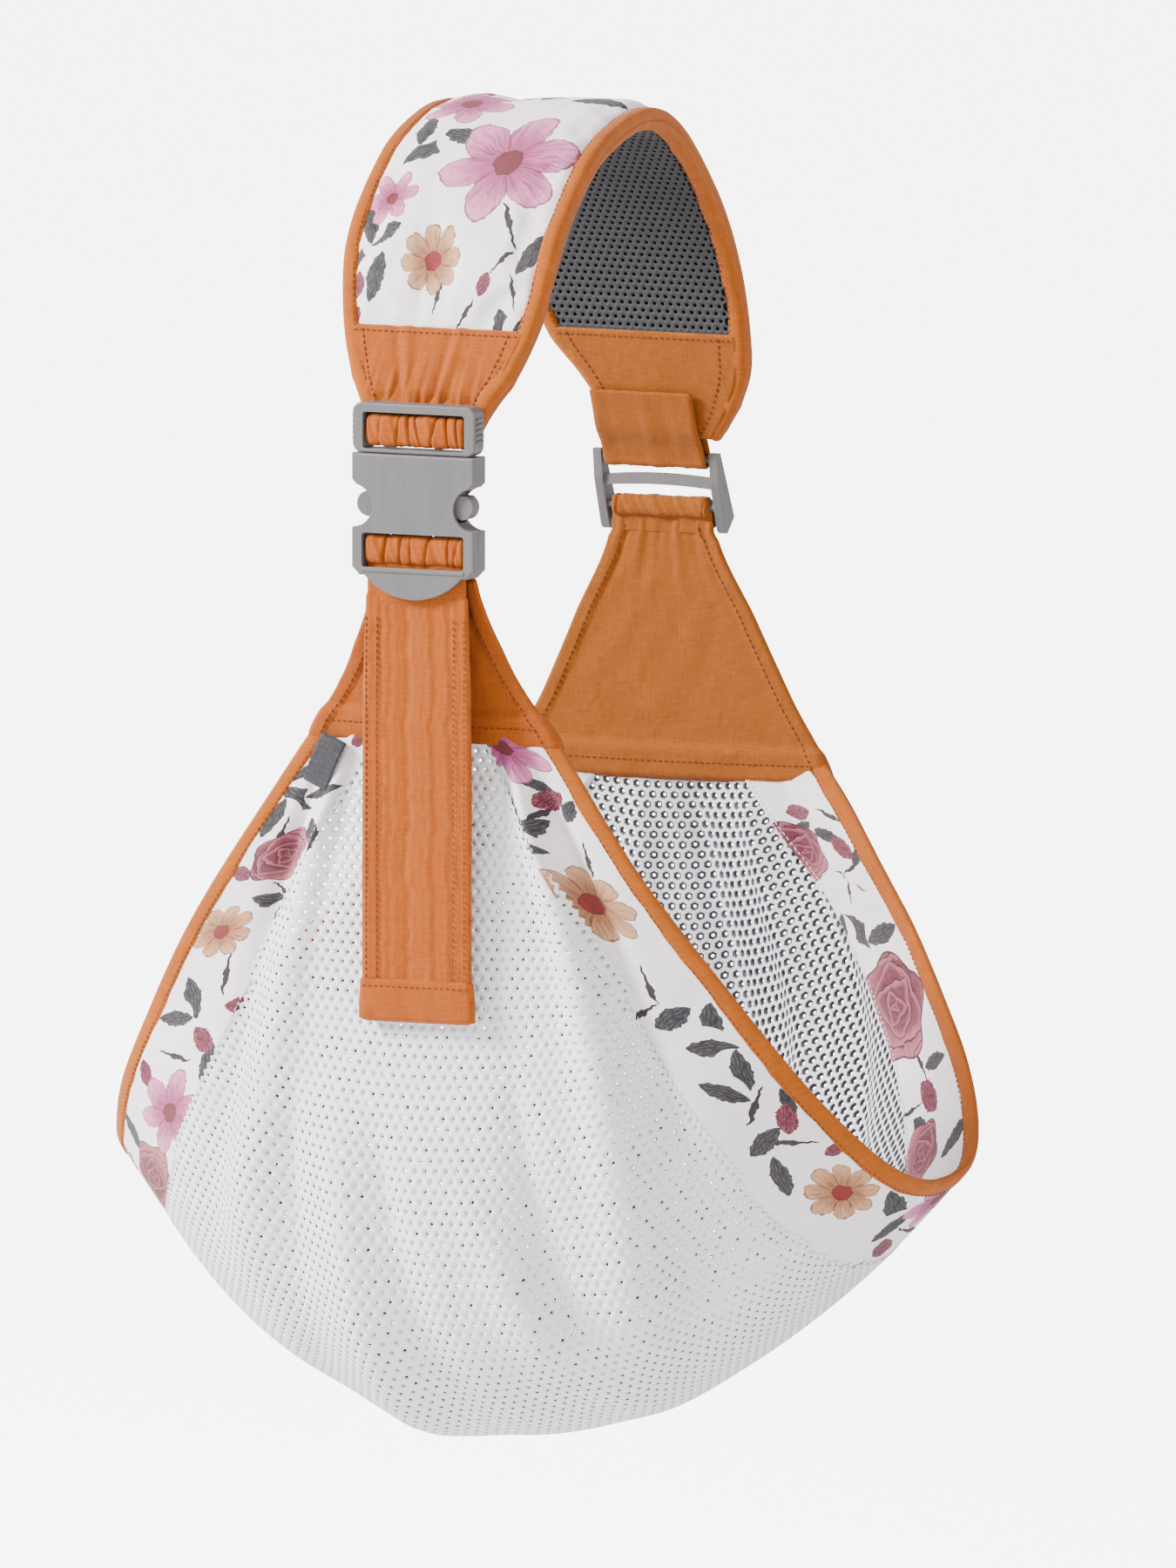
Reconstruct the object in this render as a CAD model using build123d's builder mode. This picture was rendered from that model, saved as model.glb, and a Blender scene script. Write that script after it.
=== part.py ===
from build123d import *

import os
from math import asinh, cos, sin, sqrt

# A soft one-shoulder baby sling: a padded shoulder arch, a side-release buckle with a ladder
# lock in front, a ladder-lock adjuster behind, and a hammock pouch of mesh with printed sides.
#
# Frame: +Z up, -Y the front (the buckle side), X across the strap. The origin is the crown of
# the pad's underside, where the carrier rests on the wearer's shoulder. All sizes in mm.

# --- driving dimensions -----------------------------------------------------------------------
SEAM_GAP = 0.4            # left between pieces that are sewn together
CLEARANCE = 0.3           # running clearance of the moulded pieces

# shoulder pad
PAD_WIDTH = 112.0
PAD_BINDING = 8.0         # width of the bias tape that edges the pad
LINING_THICK = 2.2
FOAM_THICK = 5.6
COVER_THICK = 1.6
PAD_PATH = [              # underside of the pad, front end to rear end, as (y, z)
    (-124, -124), (-117, -108), (-108.5, -86), (-94, -49), (-61, -17.5), (-29, -4), (0, 0),
    (25, -5.5), (52, -25), (80, -56), (96, -86), (104, -118), (111, -144), (117, -164),
]
FRONT_COVER_END = -92.0   # height where the print stops in front
REAR_COVER_END = -111.0   # height where the print stops behind
FRONT_FLARE = -80.0       # the pad narrows from here down to the front buckle
REAR_FLARE = -120.0
STRAP_WIDTH = 54.0        # the strap that runs through the hardware
STRAP_THICK = 2.6

# front buckle
BUCKLE_Y = -140.0         # middle of the buckle's thickness
BUCKLE_WIDTH = 65.0
BUCKLE_THICK = 13.0
PLUG_TOP = -121.0         # top edge of the plug's frame
PLUG_JOINT = -145.0       # where plug and socket meet
SOCKET_BASE = -181.0      # end of the socket's housing, start of its ladder lock
LADDER_END = -200.0       # lower edge of the ladder lock's window
RAIL = 5.5                # width of the frames' side rails
MOUTH_WALL = 6.0          # from the buckle's side to the socket's mouth
MOUTH_HIGH = 8.6          # height of the mouth, front to back
LIP_DROP = 15.0           # how far the thumb lip hangs below the ladder lock
FRAME_EDGE = 4.4          # top rail of the plug's frame
WINDOW_EDGE = 2.0         # what is left below the plug's window
BAR_RADIUS = 2.0
ROLL_HIGH = 14.6          # outside of the strap where it is bunched round a front bar
ROLL_DEEP = 11.0
COLLAR = 15.0             # length of the collar between the mouth and the side windows
LIP_THICK = 3.0
PLUG_THICK = 11.0
TONGUE_WIDTH = 19.0
WINDOW_DEEP = 11.0        # depth of the socket's side windows
PRONG_WIDTH = 4.2
PRONG_SHY = 1.9           # how far a prong's head stays inside the buckle's side

# front strap tail
TAIL_WIDTH = 56.0
TAIL_THICK = 3.0
TAIL_END = -417.0
HEM_HIGH = 17.0
HEM_THICK = 6.0
TAIL_CLEAR = 3.0          # least room between the hem and the pouch behind it

# rear adjuster
ADJUSTER_Y = 124.0        # middle of the adjuster at its top
ADJUSTER_LEAN = 0.25      # how far it leans back for each millimetre down
ADJUSTER_TOP = -168.5
ADJUSTER_HIGH = 39.5
ADJUSTER_PLATE = 4.5
REAR_TOP_BAR = -172.0
REAR_MID_BAR = -183.2
REAR_LOW_BAR = -195.5
REAR_ROLL = 5.0
TOP_LOOP = 4.2
REAR_LIP_STAND = 7.0      # how far the rear lip stands behind the adjuster's bars

# pouch: stations along its length, front edge to rear edge. Each has the middle of the cloth
# (y, z), then the rim's half width and place (x, y, z).
STATIONS = [
    ((-125, -282), (63, -121, -282.5)),
    ((-130, -345), (110, -121, -347)),
    ((-134, -425), (153, -102, -408)),
    ((-140, -508), (184, -76, -456)),
    ((-118, -582), (205, -43, -488)),
    ((-58, -623), (214, -7, -497)),
    ((26, -612), (216, 26, -484)),
    ((105, -552), (195, 56, -441)),
    ((146, -465), (160, 82, -396)),
    ((146, -385), (117, 115, -350)),
    ((141, -324), (83, 139, -322)),
]
MESH_THICK = 2.4
PRINT_THICK = 1.8
RIM_THICK = 4.6
RIM_WIDTH = 10.0          # width of the bias tape on the pouch's rims
PRINT_WIDTH = (40, 46, 52, 58, 60, 60, 60, 58, 54, 50, 46)
POUCH_GAP = 1.2           # left between the pouch's strips, whose edges wander between stations
NECK_THICK = 2.6
FRONT_NECK_TOP = -207.0
FRONT_NECK = ((28, 0), (31.5, 18))   # half width and distance below the top
REAR_NECK_TOP = -203.0
REAR_NECK = ((26, 0), (28, 8))
REAR_NECK_STAND = 4.0     # the rear neck ends this far above the middle of the pouch's rear edge

FRONT_NECK_Y = BUCKLE_Y + BUCKLE_THICK / 2 + 1.5   # the neck runs up behind the socket
TAIL_Y = BUCKLE_Y - 1.5
TAIL_TOP = LADDER_END - LIP_DROP - 1.5
HALF = BUCKLE_WIDTH / 2
MOUTH_HALF = HALF - MOUTH_WALL
PRONG_REACH = HALF - PRONG_SHY
PAD_THICK = LINING_THICK + FOAM_THICK + COVER_THICK + 2 * SEAM_GAP
PATH_STEPS = 18

os.makedirs("parts", exist_ok=True)


def save(builder, name):
    """Labels a finished piece and writes it as one STEP file."""
    builder.part.label = name
    export_step(builder.part, f"parts/{name}.step")


# --- shoulder pad -----------------------------------------------------------------------------
pad_path = Spline(*[(y, z) for y, z in PAD_PATH])


def place_at_height(z, front):
    """The pad path's parameter where it passes a height, on its front or rear leg."""
    low, high = (0.0, 0.5) if front else (1.0, 0.5)
    for _ in range(40):
        middle = (low + high) / 2
        if (pad_path @ middle).Y < z:
            low = middle
        else:
            high = middle
    return low


def offset_points(inner, start, end):
    """Points that follow the pad path at a distance outside it."""
    points = []
    for i in range(PATH_STEPS + 1):
        t = start + (end - start) * i / PATH_STEPS
        place, along = pad_path @ t, pad_path % t
        points.append((place.X - along.Y * inner, place.Y + along.X * inner))
    return points


def pad_band(inner, outer, start, end, width):
    """A layer of the pad: the space between two offsets of the path, as wide as the pad."""
    with BuildPart() as band:
        with BuildSketch(Plane.YZ):
            with BuildLine():
                low = Spline(*offset_points(inner, start, end))
                high = Spline(*offset_points(outer, start, end))
                Line(low @ 0, high @ 0)
                Line(low @ 1, high @ 1)
            make_face()
        extrude(amount=width / 2, both=True)
    return band.part


def pad_outline(front, inset):
    """The pad's outline seen from the front: straight sides that draw in to the strap."""
    half = PAD_WIDTH / 2 - inset
    neck = STRAP_WIDTH / 2 + 4 - inset * 0.5
    flare, end = (FRONT_FLARE, PAD_PATH[0][1] - 4) if front else (REAR_FLARE, PAD_PATH[-1][1] - 6)
    deep = flare - end
    with BuildSketch(Plane.XZ) as outline:
        with BuildLine():
            Line((0, PAD_THICK + 10), (half, PAD_THICK + 10))
            Line((half, PAD_THICK + 10), (half, flare))
            curve = Spline(
                (half, flare), (half - (half - neck) * 0.42, flare - deep * 0.58), (neck, end),
                tangents=[(0, -1), (-0.6, -1)],
            )
            Line(curve @ 1, (0, end))
            mirror(about=Plane.YZ)
        make_face()
    return outline.sketch


def pad_region(inset, width=None):
    """The space inside the pad's outline; with a width, only the strip along its edge."""
    with BuildPart() as region:
        for front, reach in ((True, 200), (False, -200)):
            with BuildSketch(Plane.XZ):
                add(pad_outline(front, inset))
                if width:
                    add(pad_outline(front, inset + width), mode=Mode.SUBTRACT)
            extrude(amount=reach)
    return region.part


cover_front = place_at_height(FRONT_COVER_END, True)
cover_rear = place_at_height(REAR_COVER_END, False)
foam_bottom = LINING_THICK + SEAM_GAP
cover_bottom = foam_bottom + FOAM_THICK + SEAM_GAP
seam = 0.0012             # a seam gap along the pad path, as a share of its length

inner_region = pad_region(PAD_BINDING + SEAM_GAP)
for name, low, high, start, end in (
    ("pad_lining", 0, LINING_THICK, cover_front, cover_rear),
    ("pad_foam", foam_bottom, foam_bottom + FOAM_THICK, cover_front, cover_rear),
    ("pad_cover", cover_bottom, cover_bottom + COVER_THICK, cover_front, cover_rear),
    ("front_end_panel", foam_bottom + 0.6, cover_bottom, 0.0, cover_front - seam),
    ("rear_end_panel", foam_bottom + 0.6, cover_bottom, cover_rear + seam, 1.0),
):
    with BuildPart() as pad_layer:
        add(pad_band(low, high, start, end, PAD_WIDTH))
        add(inner_region, mode=Mode.INTERSECT)
    save(pad_layer, name)

edge_region = pad_region(0, PAD_BINDING)
for name, side in (("pad_binding_left", -1), ("pad_binding_right", 1)):
    with BuildPart() as pad_binding:
        add(pad_band(foam_bottom, PAD_THICK, 0, 1, PAD_WIDTH))
        add(edge_region, mode=Mode.INTERSECT)
        split(bisect_by=Plane.YZ, keep=Keep.TOP if side > 0 else Keep.BOTTOM)
    save(pad_binding, name)


# --- straps rolled round the hardware's bars ----------------------------------------------------
def bar_plane(y, z, half):
    """A plane across the strap, for a round bar or roll that runs along X."""
    return Plane(origin=(-half, y, z), x_dir=(0, 1, 0), z_dir=(1, 0, 0))


def lean(z):
    """The middle of the leaning rear adjuster at a height."""
    return ADJUSTER_Y + (ADJUSTER_TOP - z) * ADJUSTER_LEAN


plug_window_top = PLUG_TOP - FRAME_EDGE
plug_window_low = PLUG_JOINT + WINDOW_EDGE
plug_bar_z = (plug_window_top + plug_window_low) / 2
ladder_top = SOCKET_BASE - 2.5
ladder_bar_z = ladder_top - ROLL_HIGH / 2 - 0.6
roll_half = STRAP_WIDTH / 2 - 2


def pad_strap(start, end, bar, loop_high, loop_deep):
    """A strap sewn inside one end of the pad, that runs out of it and loops round a bar."""
    reach = loop_high * 0.3
    with BuildPart() as strap:
        with BuildSketch(Plane.YZ):
            with BuildLine():
                low = Spline(*offset_points(0.2, start, end))
                high = Spline(*offset_points(STRAP_THICK, start, end))
                Line(low @ 0, high @ 0)
                upper = Line(high @ 1, (bar[0], bar[1] + reach))
                lower = Line(low @ 1, (bar[0], bar[1] - reach))
                Line(upper @ 1, lower @ 1)
            make_face()
            with Locations(bar):
                Ellipse(loop_deep / 2, loop_high / 2)
                Circle(BAR_RADIUS + CLEARANCE, mode=Mode.SUBTRACT)
        extrude(amount=roll_half, both=True)
    return strap


front_strap_start = place_at_height(FRONT_COVER_END - 18, True)
front_bar = (BUCKLE_Y, plug_bar_z)
save(pad_strap(front_strap_start, 0.0, front_bar, ROLL_HIGH, ROLL_DEEP), "front_pad_strap")
rear_strap_start = place_at_height(REAR_COVER_END - 30, False)
rear_bar = (lean(REAR_TOP_BAR), REAR_TOP_BAR)
save(pad_strap(rear_strap_start, 1.0, rear_bar, 2 * TOP_LOOP, 2 * TOP_LOOP), "rear_pad_strap")

# the adjustable strap where it is bunched round the socket's bar and runs down into the tail
with BuildPart() as front_strap_roll:
    with BuildSketch(bar_plane(BUCKLE_Y, ladder_bar_z, roll_half)):
        Ellipse(ROLL_DEEP / 2, ROLL_HIGH / 2)
        with Locations((TAIL_Y - BUCKLE_Y, (TAIL_TOP - ladder_bar_z) / 2)):
            Rectangle(STRAP_THICK, ladder_bar_z - TAIL_TOP - 1)
        Circle(BAR_RADIUS + CLEARANCE, mode=Mode.SUBTRACT)
    extrude(amount=2 * roll_half)
save(front_strap_roll, "front_strap_roll")

with BuildPart() as rear_strap_roll:
    with BuildSketch(bar_plane(lean(REAR_LOW_BAR), REAR_LOW_BAR, roll_half)):
        Circle(REAR_ROLL)
        Circle(BAR_RADIUS + CLEARANCE, mode=Mode.SUBTRACT)
    extrude(amount=2 * roll_half)
save(rear_strap_roll, "rear_strap_roll")

# the short runs of strap between a roll and the neck of the pouch, which lengthen as it is let out
run_top = ladder_bar_z - ROLL_HIGH / 2 - SEAM_GAP
with BuildPart() as front_strap_run:
    with BuildSketch(Plane.YZ):
        with BuildLine():
            Polyline(
                (BUCKLE_Y + 1, run_top), (FRONT_NECK_Y, FRONT_NECK_TOP + SEAM_GAP),
                (FRONT_NECK_Y + NECK_THICK, FRONT_NECK_TOP + SEAM_GAP), (BUCKLE_Y + 4, run_top),
                close=True,
            )
        make_face()
    extrude(amount=roll_half, both=True)
save(front_strap_run, "front_strap_run")

rear_run_top = REAR_LOW_BAR - REAR_ROLL - SEAM_GAP
rear_neck_y = lean(REAR_NECK_TOP) - NECK_THICK / 2
with BuildPart() as rear_strap_run:
    with BuildSketch(Plane.YZ):
        with Locations((rear_neck_y + NECK_THICK / 2, (rear_run_top + REAR_NECK_TOP + SEAM_GAP) / 2)):
            Rectangle(NECK_THICK, rear_run_top - REAR_NECK_TOP - SEAM_GAP)
    extrude(amount=roll_half, both=True)
save(rear_strap_run, "rear_strap_run")


# --- plug half of the buckle --------------------------------------------------------------------
front_face = BUCKLE_Y - BUCKLE_THICK / 2
plug_front = BUCKLE_Y - PLUG_THICK / 2
plug_mid = (PLUG_TOP + PLUG_JOINT) / 2
with BuildPart() as buckle_plug:
    with BuildSketch(Plane.XZ.offset(-plug_front)):
        with Locations((0, plug_mid)):
            RectangleRounded(BUCKLE_WIDTH, PLUG_TOP - PLUG_JOINT, 4.5)
    extrude(amount=-PLUG_THICK)
    fillet(buckle_plug.edges().filter_by(GeomType.CIRCLE), 1.0)
    with BuildSketch(Plane.XZ.offset(-plug_front)):
        with Locations((0, (plug_window_top + plug_window_low) / 2)):
            RectangleRounded(BUCKLE_WIDTH - 2 * RAIL, plug_window_top - plug_window_low, 1.5)
    extrude(amount=-PLUG_THICK, mode=Mode.SUBTRACT)
    with BuildSketch(bar_plane(BUCKLE_Y, plug_bar_z, HALF - RAIL + 0.5)):
        Circle(BAR_RADIUS)
    extrude(amount=2 * (HALF - RAIL) + 1)
    # the root block between the frame and the prongs, and the guide tongue
    with BuildSketch(Plane.XY.offset(PLUG_JOINT + 0.5)):
        with Locations((0, BUCKLE_Y)):
            Rectangle(2 * MOUTH_HALF - 1.5, MOUTH_HIGH - 1)
    extrude(amount=-3.0)
    with BuildSketch(Plane.XY.offset(PLUG_JOINT)):
        with Locations((0, BUCKLE_Y)):
            Rectangle(TONGUE_WIDTH, 4.4)
    extrude(amount=SOCKET_BASE + 7 - PLUG_JOINT)
    # grip ribs on the frame's two ends
    with Locations(*[
        (side * HALF, BUCKLE_Y, plug_mid + 5.2 - 2.6 * i) for side in (-1, 1) for i in range(5)
    ]):
        Box(1.2, PLUG_THICK - 3, 1.1)
save(buckle_plug, "buckle_plug")

# --- prongs: arms that spring inwards, with a round head that shows in the side window ----------
prong_top = PLUG_JOINT - 3.2
window_mid = (PLUG_JOINT - COLLAR + SOCKET_BASE) / 2
window_half = (PLUG_JOINT - COLLAR - SOCKET_BASE) / 2
arm_outer = MOUTH_HALF - 3.0
for name, side in (("prong_left", -1), ("prong_right", 1)):
    with BuildPart() as prong:
        with BuildSketch(Plane.XZ.offset(-BUCKLE_Y + (MOUTH_HIGH - 0.8) / 2)):
            with BuildLine():
                inner = Polyline(
                    (arm_outer, prong_top), (arm_outer - PRONG_WIDTH, prong_top),
                    (arm_outer - PRONG_WIDTH + 1, window_mid - window_half * 0.3),
                    (arm_outer + 1, window_mid - window_half * 0.5),
                )
                head = ThreePointArc(
                    inner @ 1, (PRONG_REACH, window_mid), (arm_outer + 3.5, window_mid + window_half * 0.62),
                )
                Polyline(head @ 1, (arm_outer, window_mid + window_half * 0.62), (arm_outer, prong_top))
            make_face()
            if side < 0:
                mirror(about=Plane.YZ, mode=Mode.REPLACE)
        extrude(amount=-(MOUTH_HIGH - 0.8))
    save(prong, name)

# --- socket half of the buckle, with its ladder lock and thumb lip --------------------------------
lip_half = HALF - 4
lip_radius = (lip_half ** 2 + LIP_DROP ** 2) / (2 * LIP_DROP)
socket_top = PLUG_JOINT - CLEARANCE
with BuildPart() as buckle_socket:
    with BuildSketch(Plane.XZ.offset(-front_face)):
        with BuildLine():
            Polyline(
                (0, socket_top), (HALF, socket_top), (HALF, PLUG_JOINT - COLLAR + 2),
                (HALF - 2, PLUG_JOINT - COLLAR), (HALF - 2, SOCKET_BASE + 3),
                (HALF, SOCKET_BASE), (HALF, LADDER_END), (HALF - 4, LADDER_END - 4),
                (0, LADDER_END - 4),
            )
            mirror(about=Plane.YZ)
        make_face()
    extrude(amount=-BUCKLE_THICK)
    fillet(buckle_socket.faces().sort_by(Axis.Y)[0].outer_wire().edges(), 1.2)
    # D-shaped side windows where the prongs' heads are squeezed
    with BuildSketch(Plane.XZ.offset(-front_face)):
        with Locations((HALF, window_mid), (-HALF, window_mid)):
            Ellipse(WINDOW_DEEP, window_half)
    extrude(amount=-BUCKLE_THICK, mode=Mode.SUBTRACT)
    # mouth and cavity for the tongue and the prongs
    with BuildSketch(Plane.XY.offset(socket_top)):
        with Locations((0, BUCKLE_Y)):
            Rectangle(2 * MOUTH_HALF, MOUTH_HIGH)
    extrude(amount=SOCKET_BASE + 4 - socket_top, mode=Mode.SUBTRACT)
    # ladder-lock window
    with BuildSketch(Plane.XZ.offset(-front_face)):
        with Locations((0, (ladder_top + LADDER_END) / 2)):
            RectangleRounded(BUCKLE_WIDTH - 2 * RAIL, ladder_top - LADDER_END, 1.5)
    extrude(amount=-BUCKLE_THICK, mode=Mode.SUBTRACT)
    # open back below the window, so that both runs of the strap pass behind the lip
    with Locations((0, BUCKLE_Y + LIP_THICK / 2, LADDER_END - 2)):
        Box(BUCKLE_WIDTH - 2 * RAIL, BUCKLE_THICK - LIP_THICK, 12, mode=Mode.SUBTRACT)
    with BuildSketch(bar_plane(BUCKLE_Y, ladder_bar_z, HALF - RAIL + 0.5)):
        Circle(BAR_RADIUS)
    extrude(amount=2 * (HALF - RAIL) + 1)
    # thumb lip: a round segment below the window, with a ridge along its root
    with BuildSketch(Plane.XZ.offset(-front_face)):
        with BuildLine():
            Line((-lip_half, LADDER_END), (lip_half, LADDER_END))
            RadiusArc((lip_half, LADDER_END), (-lip_half, LADDER_END), lip_radius)
        make_face()
    extrude(amount=-LIP_THICK)
    with Locations((0, front_face + 0.4, LADDER_END - 1.2)):
        Box(2 * (HALF - RAIL), 2, 1.6)
save(buckle_socket, "buckle_socket")

# --- strap tail -----------------------------------------------------------------------------------
# a tail long enough to reach the pouch's belly leans forwards to hang clear of it
belly = next(y for (y, z), rim in STATIONS if z <= TAIL_END) - MESH_THICK / 2 - TAIL_CLEAR
tail_lean = max(0, TAIL_Y + HEM_THICK / 2 - belly) / (TAIL_TOP - TAIL_END)
tail_plane = Plane((0, TAIL_Y, TAIL_TOP), x_dir=(1, 0, 0), z_dir=(0, -cos(tail_lean), sin(tail_lean)))
tail_long = TAIL_TOP - TAIL_END - HEM_HIGH - SEAM_GAP
with BuildPart() as tail_strap:
    with BuildSketch(tail_plane.offset(TAIL_THICK / 2)):
        with Locations((0, -tail_long / 2)):
            Rectangle(TAIL_WIDTH, tail_long)
    extrude(amount=-TAIL_THICK)
    fillet(tail_strap.faces().sort_by(Axis.Z)[-1].edges().filter_by(Axis.X), 1.2)
save(tail_strap, "tail_strap")

with BuildPart() as tail_hem:
    with BuildSketch(tail_plane.offset(HEM_THICK / 2)):
        with Locations((0, TAIL_END - TAIL_TOP + HEM_HIGH / 2)):
            RectangleRounded(TAIL_WIDTH + 2, HEM_HIGH, 2)
    extrude(amount=-HEM_THICK)
    fillet(tail_hem.edges().filter_by(Axis.X), 2.4)
save(tail_hem, "tail_hem")


# --- rear adjuster ----------------------------------------------------------------------------------
adjuster_low = ADJUSTER_TOP - ADJUSTER_HIGH
plate_outer = HALF + 0.5
plate_inner = plate_outer - ADJUSTER_PLATE
lip_top = REAR_LOW_BAR - 3
lip_y = lean(lip_top) + REAR_LIP_STAND
with BuildPart() as rear_adjuster:
    for x in (-plate_outer, plate_inner):
        with BuildSketch(Plane.YZ.offset(x)):
            with BuildLine():
                front_edge = Polyline(
                    (lean(ADJUSTER_TOP) - 2, ADJUSTER_TOP), (lean(REAR_MID_BAR) - 4, REAR_MID_BAR),
                    (lean(adjuster_low) - 2.5, adjuster_low + 1.5), (lean(adjuster_low), adjuster_low),
                    (lip_y + 3, lip_top - 2),
                )
                Spline(
                    front_edge @ 1, (lean(REAR_MID_BAR) + 6, REAR_MID_BAR - 1),
                    (lean(ADJUSTER_TOP) + 2, ADJUSTER_TOP),
                )
                Line((lean(ADJUSTER_TOP) + 2, ADJUSTER_TOP), front_edge @ 0)
            make_face()
        extrude(amount=ADJUSTER_PLATE)
    for z in (REAR_TOP_BAR, REAR_LOW_BAR):
        with BuildSketch(bar_plane(lean(z), z, plate_inner + 1)):
            Circle(BAR_RADIUS)
        extrude(amount=2 * plate_inner + 2)
    # the middle bar bows upwards
    with BuildSketch(Plane.XZ.offset(-lean(REAR_MID_BAR) + 2.2)):
        with BuildLine():
            top = ThreePointArc(
                (-plate_inner - 1, REAR_MID_BAR + 2), (0, REAR_MID_BAR + 3.6),
                (plate_inner + 1, REAR_MID_BAR + 2),
            )
            low = ThreePointArc(
                (-plate_inner - 1, REAR_MID_BAR - 3.2), (0, REAR_MID_BAR - 1.8),
                (plate_inner + 1, REAR_MID_BAR - 3.2),
            )
            Line(top @ 0, low @ 0)
            Line(top @ 1, low @ 1)
        make_face()
    extrude(amount=-4.4)
    # lip on the outer side, which locks the strap
    with BuildSketch(Plane.XZ.offset(-lip_y)):
        with BuildLine():
            top = Line((-plate_inner - 1, lip_top + 3), (plate_inner + 1, lip_top + 3))
            right = Line(top @ 1, (plate_inner + 1, lip_top - 3))
            low = RadiusArc(right @ 1, (-plate_inner - 1, lip_top - 3), lip_radius * 1.3)
            Line(low @ 1, top @ 0)
        make_face()
    extrude(amount=-3)
save(rear_adjuster, "rear_adjuster")


# --- pouch ------------------------------------------------------------------------------------------
lowest = min(range(len(STATIONS)), key=lambda i: STATIONS[i][0][1])


def section_plane(middle, rim):
    """The plane of one cross-section: X across, and from the cloth's middle towards its rims."""
    rise = Vector(0, rim[1] - middle[0], rim[2] - middle[1]).normalized()
    return Plane(origin=(0, middle[0], middle[1]), x_dir=(1, 0, 0), z_dir=(0, -rise.Z, rise.Y))


def share_at(half, rise, from_rim):
    """The share of the half width at which a parabola lies a given length of cloth from its rim."""
    def cloth(share):
        slope = 2 * rise * share / half
        return half / 4 * (share * 2 * sqrt(1 + slope ** 2) + half / rise * asinh(slope))

    low, high = 0.0, 1.0
    for _ in range(40):
        middle = (low + high) / 2
        if cloth(1.0) - cloth(middle) > from_rim:
            low = middle
        else:
            high = middle
    return low


def parabola(half, rise, start, end, lift):
    """A stretch of the cross-section's parabola, raised by some thickness."""
    return Bezier(
        (half * start, rise * start ** 2 + lift),
        (half * (start + end) / 2, rise * start * end + lift),
        (half * end, rise * end ** 2 + lift),
    )


def pouch_strip(near_rim, far_rim, low, high, side):
    """One strip of the pouch between two distances from the rim, or the middle if far_rim is None.

    It is lofted in two lengths that meet at the lowest station, because a loft turns its sections
    over once they have swung through a right angle."""
    with BuildPart() as strip:
        for length in (range(lowest + 1), range(lowest, len(STATIONS))):
            for i in length:
                middle, rim = STATIONS[i]
                half = rim[0]
                rise = sqrt((rim[1] - middle[0]) ** 2 + (rim[2] - middle[1]) ** 2)
                outer = share_at(half, rise, near_rim[i]) if near_rim[i] > 0 else 1.0
                inner = -outer if far_rim is None else share_at(half, rise, far_rim[i])
                start, end = (inner, outer) if side > 0 else (-outer, -inner)
                with BuildSketch(section_plane(middle, rim)):
                    with BuildLine():
                        bottom = parabola(half, rise, start, end, low)
                        top = parabola(half, rise, start, end, high)
                        Line(bottom @ 0, top @ 0)
                        Line(bottom @ 1, top @ 1)
                    make_face()
            loft()
    return strip


stations = range(len(STATIONS))
rim_edge = [RIM_WIDTH for _ in stations]
print_start = [RIM_WIDTH + POUCH_GAP for _ in stations]
print_end = [RIM_WIDTH + PRINT_WIDTH[i] for i in stations]
mesh_edge = [RIM_WIDTH + PRINT_WIDTH[i] + POUCH_GAP for i in stations]
save(pouch_strip(mesh_edge, None, 0, MESH_THICK, 1), "pouch_mesh")
for name, side in (("left", -1), ("right", 1)):
    save(pouch_strip(print_start, print_end, 0, PRINT_THICK, side), f"pouch_print_{name}")
    save(pouch_strip([0] * len(STATIONS), rim_edge, -1.2, RIM_THICK - 1.2, side), f"pouch_binding_{name}")


# --- necks: the panels between the pouch and the hardware ---------------------------------------------
def neck(top, low, outline, low_half):
    """A panel from a top to a low (y, z), that widens from the strap to the pouch's edge."""
    with BuildPart() as panel:
        with BuildSketch(Plane.YZ):
            with BuildLine():
                Polyline(top, low, (low[0] + NECK_THICK, low[1]), (top[0] + NECK_THICK, top[1]), close=True)
            make_face()
        extrude(amount=low_half, both=True)
        with BuildSketch(Plane.XZ):
            with BuildLine():
                side = [(half, top[1] - drop) for half, drop in outline]
                Polyline((0, top[1]), *side, (low_half, low[1]), (0, low[1]))
                mirror(about=Plane.YZ)
            make_face()
        extrude(amount=200, both=True, mode=Mode.INTERSECT)
    return panel


(front_middle, front_rim), (rear_middle, rear_rim) = STATIONS[0], STATIONS[-1]
front_low = (front_middle[0] - 1, front_middle[1] + SEAM_GAP + 1)
save(neck((FRONT_NECK_Y, FRONT_NECK_TOP), front_low, FRONT_NECK, front_rim[0]), "front_neck")
rear_low = (rear_middle[0] - NECK_THICK, rear_middle[1] + REAR_NECK_STAND)
save(neck((rear_neck_y, REAR_NECK_TOP), rear_low, REAR_NECK, rear_rim[0]), "rear_neck")

# a folded ribbon tab sewn on by the front neck's left corner
with BuildPart() as side_tab:
    with BuildSketch(Plane.XZ.offset(-front_middle[0] + 7)):
        with Locations((-54, front_middle[1] - 14)):
            Rectangle(13, 24, rotation=-24)
    extrude(amount=-1.2)
save(side_tab, "side_tab")
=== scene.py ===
import math

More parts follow.
